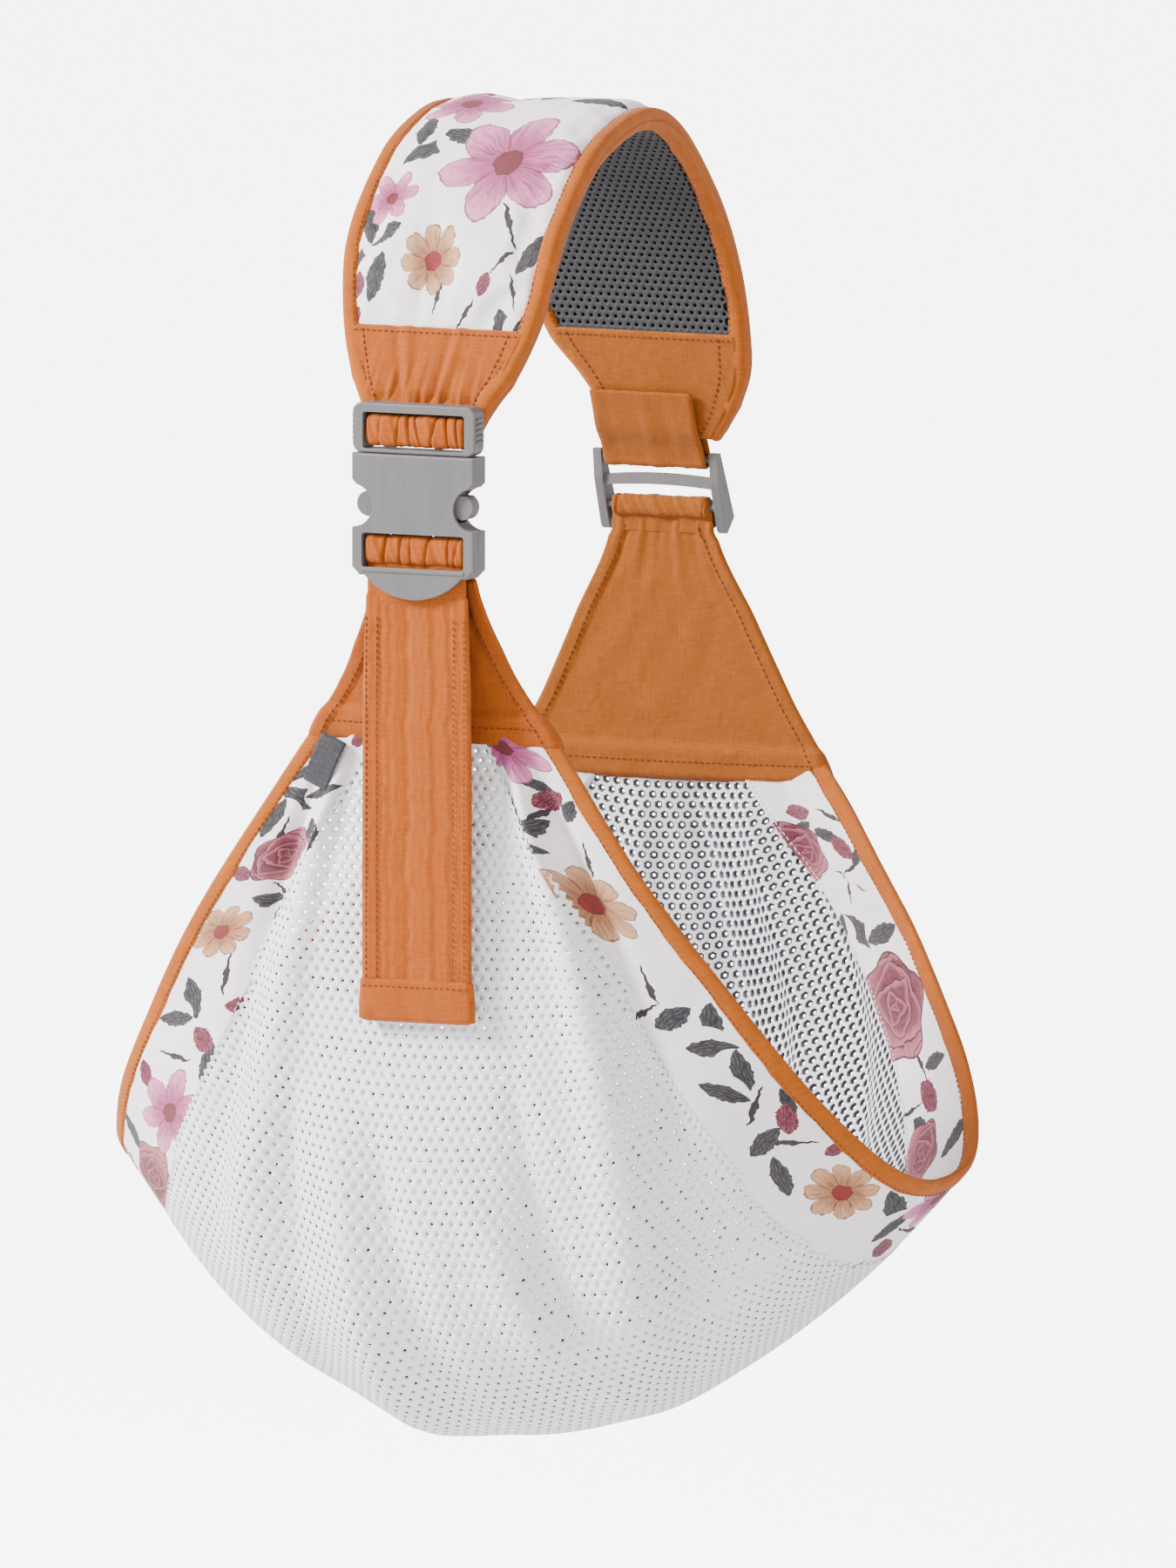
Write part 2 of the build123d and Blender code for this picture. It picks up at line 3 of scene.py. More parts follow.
import bmesh
import bpy
import numpy as np
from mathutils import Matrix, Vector


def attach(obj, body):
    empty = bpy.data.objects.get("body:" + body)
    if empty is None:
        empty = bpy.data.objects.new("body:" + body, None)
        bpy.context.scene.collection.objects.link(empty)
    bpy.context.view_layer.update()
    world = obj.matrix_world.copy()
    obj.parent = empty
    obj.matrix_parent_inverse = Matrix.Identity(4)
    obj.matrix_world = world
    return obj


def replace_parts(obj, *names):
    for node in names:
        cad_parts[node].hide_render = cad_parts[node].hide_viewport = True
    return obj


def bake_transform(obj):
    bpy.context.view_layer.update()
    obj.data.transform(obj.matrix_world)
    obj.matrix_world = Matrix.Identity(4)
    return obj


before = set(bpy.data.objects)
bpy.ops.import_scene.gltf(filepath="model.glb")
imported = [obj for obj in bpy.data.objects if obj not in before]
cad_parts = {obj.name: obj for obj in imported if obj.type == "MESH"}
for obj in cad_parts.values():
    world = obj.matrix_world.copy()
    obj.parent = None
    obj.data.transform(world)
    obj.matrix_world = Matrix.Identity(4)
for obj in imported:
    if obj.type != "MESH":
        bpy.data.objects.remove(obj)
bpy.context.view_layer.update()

MM = 0.001
TAU = 2 * math.pi

# --- sizes, in millimetres --------------------------------------------------------------------------
STATIONS = (   # middle y, middle z, rim x, rim y, rim z, width of the printed band, front to rear
    (-124.3, -275, 60, -120.6, -275.5, 39), (-130, -345, 110, -121, -347, 46),
    (-134, -425, 153, -102, -408, 52),
    (-140, -508, 184, -76, -456, 58), (-118, -582, 205, -43, -488, 60), (-58, -623, 214, -7, -497, 60),
    (26, -612, 216, 26, -484, 60), (105, -552, 195, 56, -441, 58), (146, -465, 160, 82, -396, 54),
    (146, -385, 117, 115, -350, 50), (140.6, -317, 80, 139.4, -314, 46),
)
PAD_PATH = (
    (-125.5, -138), (-124, -124), (-117, -108), (-108.5, -86), (-94, -49), (-61, -17.5), (-29, -4),
    (0, 0),
    (25, -5.5), (52, -25), (80, -56), (96, -86), (104, -118), (111, -144), (117, -164),
)
PAD_FRONT_HALF = (   # half the pad's width at each height z of its front end, as (z, half width)
    (-140, 24), (-134, 28), (-124, 34.5), (-114, 41.5), (-92, 49.5), (-76, 53), (-55, 55.5), (-30, 56),
)
PAD_REAR_HALF = {   # likewise for the left and right edges of the rear end
    -1: ((-166, 22), (-147, 25), (-130, 35), (-114, 47.5), (-96, 54), (-70, 56)),
    1: ((-166, 33), (-158, 39), (-147, 47), (-130, 54.5), (-114, 56.5), (-70, 56)),
}
PAD_STEPS = 400
FRONT_END, REAR_END = 180, 220   # steps before the first are the front half, past the second the rear
BUCKLE_Y = -140
LAST = len(STATIONS) - 1


# --- shapes -----------------------------------------------------------------------------------------
def curve(knots, at):
    """Points of a smooth curve through the rows of knots, at parameters from 0 to len(knots) - 1."""
    knots = np.asarray(knots, float)
    at = np.clip(np.asarray(at, float), 0, len(knots) - 1)
    i = np.minimum(at.astype(int), len(knots) - 2)
    f = (at - i)[..., None]
    a, b, c, d = (knots[np.clip(i + k, 0, len(knots) - 1)] for k in (-1, 0, 1, 2))
    return b + f * (c - a) / 2 + f ** 2 * (2 * a - 5 * b + 4 * c - d) / 2 + f ** 3 * (
        3 * b - a - 3 * c + d) / 2


def lengths(points):
    """Distance along a line of points from its first one."""
    return np.concatenate([[0], np.cumsum(np.linalg.norm(np.diff(points, axis=0), axis=1))])


def cloth_length(half, rise, share):
    """Length along the parabola (half s, rise s^2) from s = 0 to s = share."""
    slope = 2 * rise * share / half
    return share / 2 * np.hypot(half, 2 * rise * share) + half ** 2 / (4 * rise) * np.arcsinh(slope)


def bump_at(x, centre, width):
    """A smooth bump of height 1."""
    return np.exp(-((x - centre) / width) ** 2)


FOLDS = (   # ridges in the mesh: start (station, across), end, width across, height in millimetres
    ((0.0, 0.60), (4.4, 0.40), 0.060, 11.0), ((0.1, 0.74), (4.2, 0.56), 0.055, -8.0),
    ((2.5, -0.24), (5.4, -0.10), 0.060, 8.0), ((2.6, -0.12), (5.2, 0.02), 0.050, -5.0),
    ((3.0, 0.14), (5.6, 0.34), 0.060, 8.0), ((2.2, 0.27), (5.0, 0.24), 0.050, -5.5),
    ((0.1, -0.62), (3.6, -0.44), 0.060, 8.0), ((0.3, -0.76), (3.6, -0.58), 0.055, -5.5),
    ((2.4, -0.40), (5.0, -0.30), 0.055, -5.0), ((6.2, -0.3), (9.6, -0.5), 0.075, 6.5),
    ((6.6, 0.2), (9.9, 0.1), 0.06, 7.0), ((6.8, 0.36), (9.9, 0.42), 0.055, -7.0),
    ((7.2, -0.05), (9.8, -0.2), 0.055, -5.0), ((6.4, 0.5), (9.7, 0.66), 0.05, 5.0),
)


def fold_height(u, q):
    """How far the slack cloth stands out from its taut shape, in millimetres."""
    height = 0.9 * np.sin(2.1 * u + 5 * q) * np.cos(1.3 * u - 7 * q + 1) + 0.4 * np.sin(4.3 * u + 11 * q)
    for (u0, q0), (u1, q1), width, high in FOLDS:
        t = np.clip((u - u0) / (u1 - u0), -0.3, 1.3)
        line = q0 + (q1 - q0) * t + 0.03 * np.sin(3.5 * t)
        along = np.clip(np.minimum(t + 0.12, 1.15 - t) / 0.3, 0, 1)
        height = height + high * bump_at(q, line, width * (0.75 + 0.5 * t)) * along ** 2 * (3 - 2 * along)
    under_tail = bump_at(q, 0, 0.24) * np.clip((3.1 - u) / 0.6, 0, 1)
    ends = np.clip(np.minimum(u, LAST - u) / 0.7, 0, 1)
    taut_below = 1 - 0.75 * bump_at(u, 5.5, 1.0)
    return np.where(height > 0, height * (1 - under_tail), height) * ends * taut_below


def taut(u, q):
    """The pouch's taut middle surface at station u, and at q from rim to rim measured along the cloth."""
    mid_y, mid_z, rim_x, rim_y, rim_z, _ = np.moveaxis(curve(STATIONS, u), -1, 0)
    rise = np.hypot(rim_y - mid_y, rim_z - mid_z)
    wanted, share = q * cloth_length(rim_x, rise, 1.0), q
    for _ in range(5):
        share = share - (cloth_length(rim_x, rise, share) - wanted) / np.hypot(rim_x, 2 * rise * share)
    return np.stack([rim_x * share, mid_y + (rim_y - mid_y) * share ** 2,
        mid_z + (rim_z - mid_z) * share ** 2], -1)


def normals(u, q):
    """Unit vectors out of the pouch's taut surface."""
    e = 1e-3
    along = taut(np.clip(u + e, 0, LAST), q) - taut(np.clip(u - e, 0, LAST), q)
    across = taut(u, q + e) - taut(u, q - e)
    n = np.cross(along, across)
    return n / np.linalg.norm(n, axis=-1, keepdims=True)


def pouch(u, q, lift=0.0, fold=1.0):
    """A point of the pouch: lift is millimetres outwards, fold how much of the slack it has."""
    u, q = np.broadcast_arrays(np.asarray(u, float), np.asarray(q, float))
    return taut(u, q) + normals(u, q) * (fold_height(u, q) * fold + lift)[..., None]


def half_cloth(u):
    """Length of the cloth from the middle to the rim at station u."""
    mid_y, mid_z, rim_x, rim_y, rim_z, _ = np.moveaxis(curve(STATIONS, u), -1, 0)
    return cloth_length(rim_x, np.hypot(rim_y - mid_y, rim_z - mid_z), 1.0)


def band_width(u):
    """How far in from the rim the printed band reaches at station u."""
    return curve(STATIONS, u)[:, 5]


def from_rim(u, distance, side):
    """q of the point that far in from the rim along the cloth."""
    return side * (1 - distance / half_cloth(u))


pad_knots = np.linspace(0, len(PAD_PATH) - 1, PAD_STEPS)
pad_line = curve(PAD_PATH, pad_knots)
pad_arc = lengths(pad_line)


def pad_at_height(z, front):
    """Distance along the pad's underside of the point at height z."""
    part = slice(0, FRONT_END) if front else slice(PAD_STEPS - 1, REAR_END, -1)
    return np.interp(z, pad_line[part, 1], pad_arc[part])


def pad_point(x, arc, lift):
    """A point of the pad: x across, arc along its underside, lift out from it."""
    y, z = np.interp(arc, pad_arc, pad_line[:, 0]), np.interp(arc, pad_arc, pad_line[:, 1])
    dy = np.interp(arc + 2, pad_arc, pad_line[:, 0]) - np.interp(arc - 2, pad_arc, pad_line[:, 0])
    dz = np.interp(arc + 2, pad_arc, pad_line[:, 1]) - np.interp(arc - 2, pad_arc, pad_line[:, 1])
    size = np.hypot(dy, dz)
    x, lift = np.broadcast_arrays(x, lift)
    return np.stack(np.broadcast_arrays(x, y - lift * dz / size, z + lift * dy / size), -1)


def pad_half(arc, side):
    """How far the pad reaches to one side, which narrows towards its two ends."""
    z = np.interp(arc, pad_arc, pad_line[:, 1])
    ends = []
    for table in (PAD_FRONT_HALF, PAD_REAR_HALF[side]):
        height, half = zip(*table)
        ends.append(curve(np.array(half)[:, None], np.interp(z, height, np.arange(len(height))))[..., 0])
    return np.where(arc < pad_arc[-1] / 2, *ends)


def pad_across(share, arc, inset):
    """x at share, -1 to 1 from edge to edge, of a piece set in from the pad's edges."""
    return share * np.where(share < 0, pad_half(arc, -1) - inset, pad_half(arc, 1) - inset)


# --- meshes -----------------------------------------------------------------------------------------
EDGE_BULGE = 0.35   # how far the edge of a thin piece stands out, as a share of its thickness


def make(name, points, faces, material, uv=None, smooth=True):
    """A mesh object from points in millimetres; uv holds one row per point, in metres."""
    data = bpy.data.meshes.new(name)
    data.from_pydata([tuple(p) for p in np.asarray(points, float).reshape(-1, 3) * MM], [],
        [tuple(map(int, f)) for f in faces])
    if uv is not None:
        layer = data.uv_layers.new(name="UVMap")
        corner = np.zeros(len(data.loops), np.int32)
        data.loops.foreach_get("vertex_index", corner)
        layer.data.foreach_set("uv", np.asarray(uv, np.float32).reshape(-1, 2)[corner].ravel())
    data.materials.append(material)
    obj = bpy.data.objects.new(name, data)
    bpy.context.scene.collection.objects.link(obj)
    data.validate()
    if smooth:
        data.shade_smooth()
    return obj


def outward(obj):
    """Points the faces of a closed mesh outwards."""
    b = bmesh.new()
    b.from_mesh(obj.data)
    bmesh.ops.recalc_face_normals(b, faces=b.faces)
    b.to_mesh(obj.data)
    b.free()
    return obj


def grid_faces(rows, columns, closed=False, start=0):
    """Faces of a grid of points, joined round to its first column if closed."""
    last = columns if closed else columns - 1
    return [
        (start + i * columns + j, start + i * columns + (j + 1) % columns,
         start + (i + 1) * columns + (j + 1) % columns, start + (i + 1) * columns + j)
        for i in range(rows - 1) for j in range(last)
    ]


def shell(name, low, high, material, uv):
    """A closed thin piece between two grids of points, with a rounded edge."""
    rows, columns = low.shape[:2]
    around = [(0, j) for j in range(columns)] + [(i, columns - 1) for i in range(1, rows)]
    around += [(rows - 1, j) for j in range(columns - 2, -1, -1)] + [(i, 0)
        for i in range(rows - 2, 0, -1)]
    ring = np.array([i * columns + j for i, j in around])
    flat_low, flat_high, flat_uv = low.reshape(-1, 3), high.reshape(-1, 3), uv.reshape(-1, 2)
    inward = np.array([min(max(i, 1), rows - 2) * columns + min(max(j, 1), columns - 2) for i,
        j in around])
    middle = (flat_low[ring] + flat_high[ring]) / 2
    out = middle - (flat_low[inward] + flat_high[inward]) / 2
    out /= np.maximum(np.linalg.norm(out, axis=1, keepdims=True), 1e-9)
    thick = np.linalg.norm(flat_high[ring] - flat_low[ring], axis=1, keepdims=True)
    points = np.concatenate([flat_low, flat_high, middle + out * thick * EDGE_BULGE])
    total, count = rows * columns, len(ring)
    faces = [f[::-1] for f in grid_faces(rows, columns)] + grid_faces(rows, columns, start=total)
    for k in range(count):
        a, b = ring[k], ring[(k + 1) % count]
        m, n = 2 * total + k, 2 * total + (k + 1) % count
        faces += [(a, b, n, m), (m, n, b + total, a + total)]
    return outward(make(name, points, faces, material, np.concatenate([flat_uv, flat_uv, flat_uv[ring]])))


def tube(name, rings, material, uv):
    """A closed piece through rings of points, capped at both ends."""
    rows, columns = rings.shape[:2]
    faces = grid_faces(rows, columns, closed=True)
    faces += [tuple(range(columns)), tuple((rows - 1) * columns + j for j in range(columns))]
    return outward(make(name, rings, faces, material, uv))


def unit(v):
    """v scaled to a length of 1."""
    return v / np.maximum(np.linalg.norm(v, axis=-1, keepdims=True), 1e-9)


def wobble(x, seed, sizes=(0.9, 1.7, 3.1, 5.3)):
    """A smooth irregular wave of about unit height."""
    phase = np.random.default_rng(seed).uniform(0, TAU, len(sizes))
    return sum(np.sin(k * x + p) / k ** 0.5 for k, p in zip(sizes, phase)) / 1.8


# --- shading ----------------------------------------------------------------------------------------
class Nodes:
    """Short ways to add and join the nodes of one tree."""

    def __init__(self, tree):
        self.tree = tree

    def add(self, kind, **settings):
        node = self.tree.nodes.new(kind)
        for key, value in settings.items():
            setattr(node, key, value)
        return node

    def put(self, socket, value):
        if isinstance(value, bpy.types.NodeSocket):
            self.tree.links.new(value, socket)
        elif value is not None:
            socket.default_value = value

    def math(self, operation, a, b=None):
        node = self.add("ShaderNodeMath", operation=operation)
        for socket, value in zip(node.inputs, (a, b)):
            self.put(socket, value)
        return node.outputs[0]

    def times(self, a, b):
        return self.math("MULTIPLY", a, b)

    def plus(self, a, b):
        return self.math("ADD", a, b)

    def minus(self, a, b):
        return self.math("SUBTRACT", a, b)

    def vector(self, operation, a, b=None, scale=None):
        node = self.add("ShaderNodeVectorMath", operation=operation)
        self.put(node.inputs[0], a)
        self.put(node.inputs[1], b)
        if scale is not None:
            self.put(node.inputs["Scale"], scale)
        return node.outputs["Value"] if operation in ("LENGTH", "DOT_PRODUCT",
            "DISTANCE") else node.outputs["Vector"]

    def xyz(self, vector):
        node = self.add("ShaderNodeSeparateXYZ")
        self.put(node.inputs[0], vector)
        return node.outputs

    def combine(self, x, y, z=0.0):
        node = self.add("ShaderNodeCombineXYZ")
        for socket, value in zip(node.inputs, (x, y, z)):
            self.put(socket, value)
        return node.outputs[0]

    def mix(self, factor, a, b, blend="MIX"):
        node = self.add("ShaderNodeMix", data_type="RGBA", blend_type=blend)
        self.put(node.inputs[0], factor)
        self.put(node.inputs[6], a)
        self.put(node.inputs[7], b)
        return node.outputs[2]

    def between(self, value, low, high, to_low=0.0, to_high=1.0):
        """to_low where value is low, to_high where it is high, and a smooth step from one to the other."""
        node = self.add("ShaderNodeMapRange", interpolation_type="SMOOTHSTEP")
        for socket, given in zip(node.inputs, (value, low, high, to_low, to_high)):
            self.put(socket, given)
        return node.outputs[0]

    def noise(self, vector, scale, detail=3.0, rough=0.55, warp=0.0):
        node = self.add("ShaderNodeTexNoise")
        given = {"Vector": vector, "Scale": scale, "Detail": detail, "Roughness": rough,
            "Distortion": warp}
        for key, value in given.items():
            self.put(node.inputs[key], value)
        return node.outputs["Fac"]

    def call(self, group, **inputs):
        node = self.add("ShaderNodeGroup", node_tree=group)
        for key, value in inputs.items():
            self.put(node.inputs[key.replace("_", " ")], value)
        return node.outputs


def rgb(code, level=1.0):
    """Linear colour of an sRGB hex code."""
    parts = [int(code[i:i + 2], 16) / 255 for i in (1, 3, 5)]
    return tuple(level * (c / 12.92 if c <= 0.04045 else ((c + 0.055) / 1.055) ** 2.4) for c in parts) + (
        1.0,)


KINDS = {"f": "NodeSocketFloat", "c": "NodeSocketColor", "v": "NodeSocketVector"}


def effect(name, inputs, outputs):
    """A shader group that only works out colours, masks and heights."""
    tree = bpy.data.node_groups.new(name, "ShaderNodeTree")
    for direction, sockets in (("INPUT", inputs), ("OUTPUT", outputs)):
        for label, kind in sockets.items():
            tree.interface.new_socket(label, in_out=direction, socket_type=KINDS[kind])
    n = Nodes(tree)
    return tree, n, n.add("NodeGroupInput").outputs, n.add("NodeGroupOutput").inputs


def make_weave():
    """Plain weave seen close up, with thicker and thinner threads."""
    tree, n, given, out = effect("Weave", {"Position": "v", "Thread": "f"}, {"Height": "f", "Slub": "f"})
    at = n.vector("SCALE", given["Position"], scale=n.math("DIVIDE", 1.0, given["Thread"]))
    bent = n.vector("ADD", at, n.vector("SCALE", n.combine(n.noise(at, 0.11), n.noise(at, 0.13)),
        scale=1.6))
    x, y, _ = n.xyz(bent)
    warp, weft = n.math("SINE", n.times(x, TAU)), n.math("SINE", n.times(y, TAU))
    over = n.times(n.math("SINE", n.times(x, TAU / 2)), n.math("SINE", n.times(y, TAU / 2)))
    height = n.plus(n.math("MAXIMUM", warp, weft), n.times(over, 0.5))
    stretch_x, stretch_y = n.vector("MULTIPLY", at, (0.05, 0.9, 0.5)), n.vector("MULTIPLY", at,
        (0.9, 0.05, 0.5))
    slub = n.plus(n.noise(stretch_x, 1.0, 2.0), n.noise(stretch_y, 1.0, 2.0))
    n.put(out["Height"], n.times(height, 0.5))
    n.put(out["Slub"], n.between(slub, 0.8, 1.25, 0.0, 1.0))
    return tree


def make_creases():
    """Soft handling creases, and how deep in one a point lies: the mask of the painted shade in their
    hollows.
    """
    tree, n, given, out = effect("Creases", {"Position": "v", "Scale": "f"},
        {"Height": "f", "Hollow": "f"})
    wide = n.noise(given["Position"], given["Scale"], 3.0, 0.5, 0.6)
    sharp = n.math("ABSOLUTE", n.minus(n.noise(given["Position"], n.times(given["Scale"], 1.7), 2.0, 0.5,
        1.2), 0.5))
    height = n.plus(wide, n.times(n.between(sharp, 0.0, 0.2), 0.08))
    n.put(out["Height"], height)
    # painted shade mask: 1 down in a crease, falling to 0 towards its crest
    n.put(out["Hollow"], n.between(height, 0.5, 0.85, 1.0, 0.0))
    return tree


def make_handled():
    """Broad faint soiling and fine specks."""
    tree, n, given, out = effect("Handled", {"Position": "v"}, {"Soil": "f", "Speck": "f"})
    n.put(out["Soil"], n.between(n.noise(given["Position"], 14.0, 4.0, 0.6), 0.42, 0.78))
    n.put(out["Speck"], n.between(n.noise(given["Position"], 900.0, 2.0, 0.6), 0.60, 0.74))
    return tree


def make_blossom():
    """An open flower of rounded petals round a disc, inside a circle of radius 1."""
    tree, n, given, out = effect(
        "Blossom",
        {"Position": "v", "Petals": "f", "Point": "f", "Inner": "c", "Outer": "c", "Line": "c",
            "Core": "c", "Core Size": "f"},
        {"Colour": "c", "Mask": "f"},
    )
    position = n.vector("ADD", given["Position"], n.vector("SCALE", n.combine(
        n.minus(n.noise(given["Position"], 1.7), 0.5), n.minus(n.noise(given["Position"], 1.9), 0.5)),
            scale=0.22))
    x, y, _ = n.xyz(position)
    r, turn = n.vector("LENGTH", position), n.math("ARCTAN2", y, x)
    petal = n.math("ABSOLUTE", n.math("COSINE", n.times(turn, n.times(given["Petals"], 0.5))))
    ruffle = n.noise(position, 6.0, 2.0)
    edge = n.plus(n.times(n.math("POWER", petal, given["Point"]), 0.42), n.times(ruffle, 0.15))
    edge = n.plus(edge, 0.43)
    inside = n.minus(edge, r)
    rays = n.noise(n.vector("ADD", n.vector("SCALE", n.vector("NORMALIZE", position), scale=7.0),
        n.vector("SCALE", position, scale=0.8)), 2.6, 3.0, 0.7)
    colour = n.mix(n.between(r, 0.15, 0.95), given["Inner"], given["Outer"])
    colour = n.mix(n.times(n.between(rays, 0.47, 0.6), n.between(r, 0.95, 0.2, 0.35, 0.85)), colour,
        given["Line"])
    parting = n.times(n.between(petal, 0.16, 0.06), n.between(r, 0.1, 0.3))
    colour = n.mix(n.times(n.math("MAXIMUM", n.between(inside, 0.045, 0.02), parting), 0.85), colour,
        given["Line"])
    grains = n.noise(position, 16.0, 2.0)
    core_edge = n.minus(r, n.times(given["Core Size"], n.plus(0.75, n.times(ruffle, 0.5))))
    core = n.mix(n.between(grains, 0.42, 0.6), n.mix(0.55, given["Core"], rgb("#5A1E1E")), given["Core"])
    core = n.mix(n.between(core_edge, -0.06, -0.02), core, n.mix(0.6, given["Core"], rgb("#4A1A1E")))
    n.put(out["Colour"], n.mix(n.between(core_edge, 0.01, -0.01), colour, core))
    n.put(out["Mask"], n.between(inside, -0.006, 0.006))
    return tree


def make_rose():
    """A full rose of wrapped petals, inside a circle of radius 1."""
    tree, n, given, out = effect("Rose", {"Position": "v", "Pale": "c", "Deep": "c", "Line": "c"},
        {"Colour": "c", "Mask": "f"})
    x, y, _ = n.xyz(given["Position"])
    r, turn = n.vector("LENGTH", given["Position"]), n.math("ARCTAN2", y, x)
    bend = n.noise(given["Position"], 2.1, 2.0)
    swirl = n.plus(n.times(n.math("POWER", r, 0.8), 5.2), n.times(bend, 1.9))
    step = n.math("FLOOR", swirl)
    scallop = n.math("ABSOLUTE", n.math("SINE", n.plus(n.times(turn, 1.5), n.times(step, 1.9))))
    turnover = n.math("FRACT", n.plus(swirl, n.times(scallop, 0.6)))
    streak = n.noise(n.vector("SCALE", n.vector("NORMALIZE", given["Position"]), scale=6.0), 3.0, 3.0,
        0.7)
    outer = n.plus(n.times(r, 0.8), n.times(y, 0.35))
    base = n.mix(n.between(outer, 0.25, 0.85), given["Deep"], given["Pale"])
    colour = n.mix(n.between(turnover, 0.35, 0.95, 0.0, 0.75), base, given["Pale"])
    colour = n.mix(n.times(n.between(streak, 0.52, 0.66), 0.45), colour, given["Deep"])
    colour = n.mix(n.math("MAXIMUM", n.between(turnover, 0.14, 0.04), n.between(turnover, 0.965, 0.99)),
        colour, given["Line"])
    edge = n.plus(0.76, n.plus(n.times(n.math("SINE", n.times(turn, 5.0)), 0.07), n.times(bend, 0.16)))
    inside = n.minus(edge, r)
    n.put(out["Colour"], n.mix(n.between(inside, 0.05, 0.02), colour, given["Line"]))
    n.put(out["Mask"], n.between(inside, -0.008, 0.008))
    return tree


def make_leaf():
    """A leaf, bud or stem along x, inside a circle of radius 1."""
    tree, n, given, out = effect(
        "Leaf", {"Position": "v", "Width": "f", "Pale": "c", "Dark": "c"}, {"Colour": "c", "Mask": "f"})
    wander = n.times(n.minus(n.noise(given["Position"], 2.4, 1.0), 0.5), 0.34)
    x, y, _ = n.xyz(given["Position"])
    y = n.plus(y, wander)
    open_end = n.minus(1.0, n.times(x, x))
    half = n.times(n.math("POWER", n.math("MAXIMUM", open_end, 0.0), 0.8), given["Width"])
    half = n.times(half, n.plus(1.0, n.times(n.math("SINE", n.times(x, 30.0)), 0.035)))
    away = n.math("ABSOLUTE", y)
    inside = n.minus(half, away)
    veins = n.math("FRACT", n.minus(n.times(x, 3.6), n.times(away, 3.4)))
    vein = n.math("MAXIMUM", n.between(veins, 0.14, 0.05), n.between(away, 0.035, 0.015))
    hatch = n.noise(n.vector("MULTIPLY", given["Position"], (2.2, 13.0, 1.0)), 1.0, 2.0, 0.6)
    colour = n.mix(n.between(hatch, 0.38, 0.62), given["Dark"], given["Pale"])
    colour = n.mix(n.times(vein, 0.85), colour, given["Dark"])
    n.put(out["Colour"], n.mix(n.between(inside, 0.05, 0.02), colour, given["Dark"]))
    n.put(out["Mask"], n.between(inside, -0.005, 0.01))
    return tree


WEAVE, CREASES, HANDLED = make_weave(), make_creases(), make_handled()
BLOSSOM, ROSE, LEAF = make_blossom(), make_rose(), make_leaf()


def material(name):
    """A new material, its nodes, and the inputs of its one surface."""
    made = bpy.data.materials.new(name)
    made.use_nodes = True
    made.node_tree.nodes.clear()
    n = Nodes(made.node_tree)
    surface = n.add("ShaderNodeBsdfPrincipled")
    n.put(n.add("ShaderNodeOutputMaterial").inputs["Surface"], surface.outputs[0])
    return made, n, surface.inputs


def bumped(n, height, distance, strength=1.0, under=None):
    """The normal of a surface raised by height, on top of the normal under."""
    node = n.add("ShaderNodeBump")
    n.put(node.inputs["Height"], height)
    node.inputs["Distance"].default_value = distance
    node.inputs["Strength"].default_value = strength
    n.put(node.inputs["Normal"], under)
    return node.outputs[0]


def place(n, uv, spots):
    """Position within whichever spot (x, y, radius, turn in degrees) holds the point, or far from any."""
    found = (9.0, 9.0, 0.0)
    for x, y, radius, turn in spots:
        spot = n.add("ShaderNodeMapping", vector_type="TEXTURE")
        n.put(spot.inputs["Vector"], uv)
        spot.inputs["Location"].default_value = (x * MM, y * MM, 0)
        spot.inputs["Rotation"].default_value = (0, 0, math.radians(turn))
        spot.inputs["Scale"].default_value = (radius * MM, radius * MM, 1)
        here = n.add("ShaderNodeMix", data_type="VECTOR")
        n.put(here.inputs[0], n.math("LESS_THAN", n.vector("LENGTH", spot.outputs[0]), 1.0))
        n.put(here.inputs[4], found)
        n.put(here.inputs[5], spot.outputs[0])
        found = here.outputs[1]
    return found


GREY_LEAF = {"Pale": rgb("#454347"), "Dark": rgb("#151416")}
STEM = {"Pale": rgb("#3C2F29"), "Dark": rgb("#1C1718")}
BUD = {"Pale": rgb("#923C4F"), "Dark": rgb("#400C1B")}
ROSE_COLOURS = {"Pale": rgb("#B0616E"), "Deep": rgb("#5E1E2A"), "Line": rgb("#320C16")}
LILY = {"Inner": rgb("#A64274"), "Outer": rgb("#DA84AC"), "Line": rgb("#70264E"), "Core": rgb("#661222")}
CREAM = {"Inner": rgb("#A86A44"), "Outer": rgb("#C8966E"), "Line": rgb("#5C3620"), "Core": rgb("#82190A")}


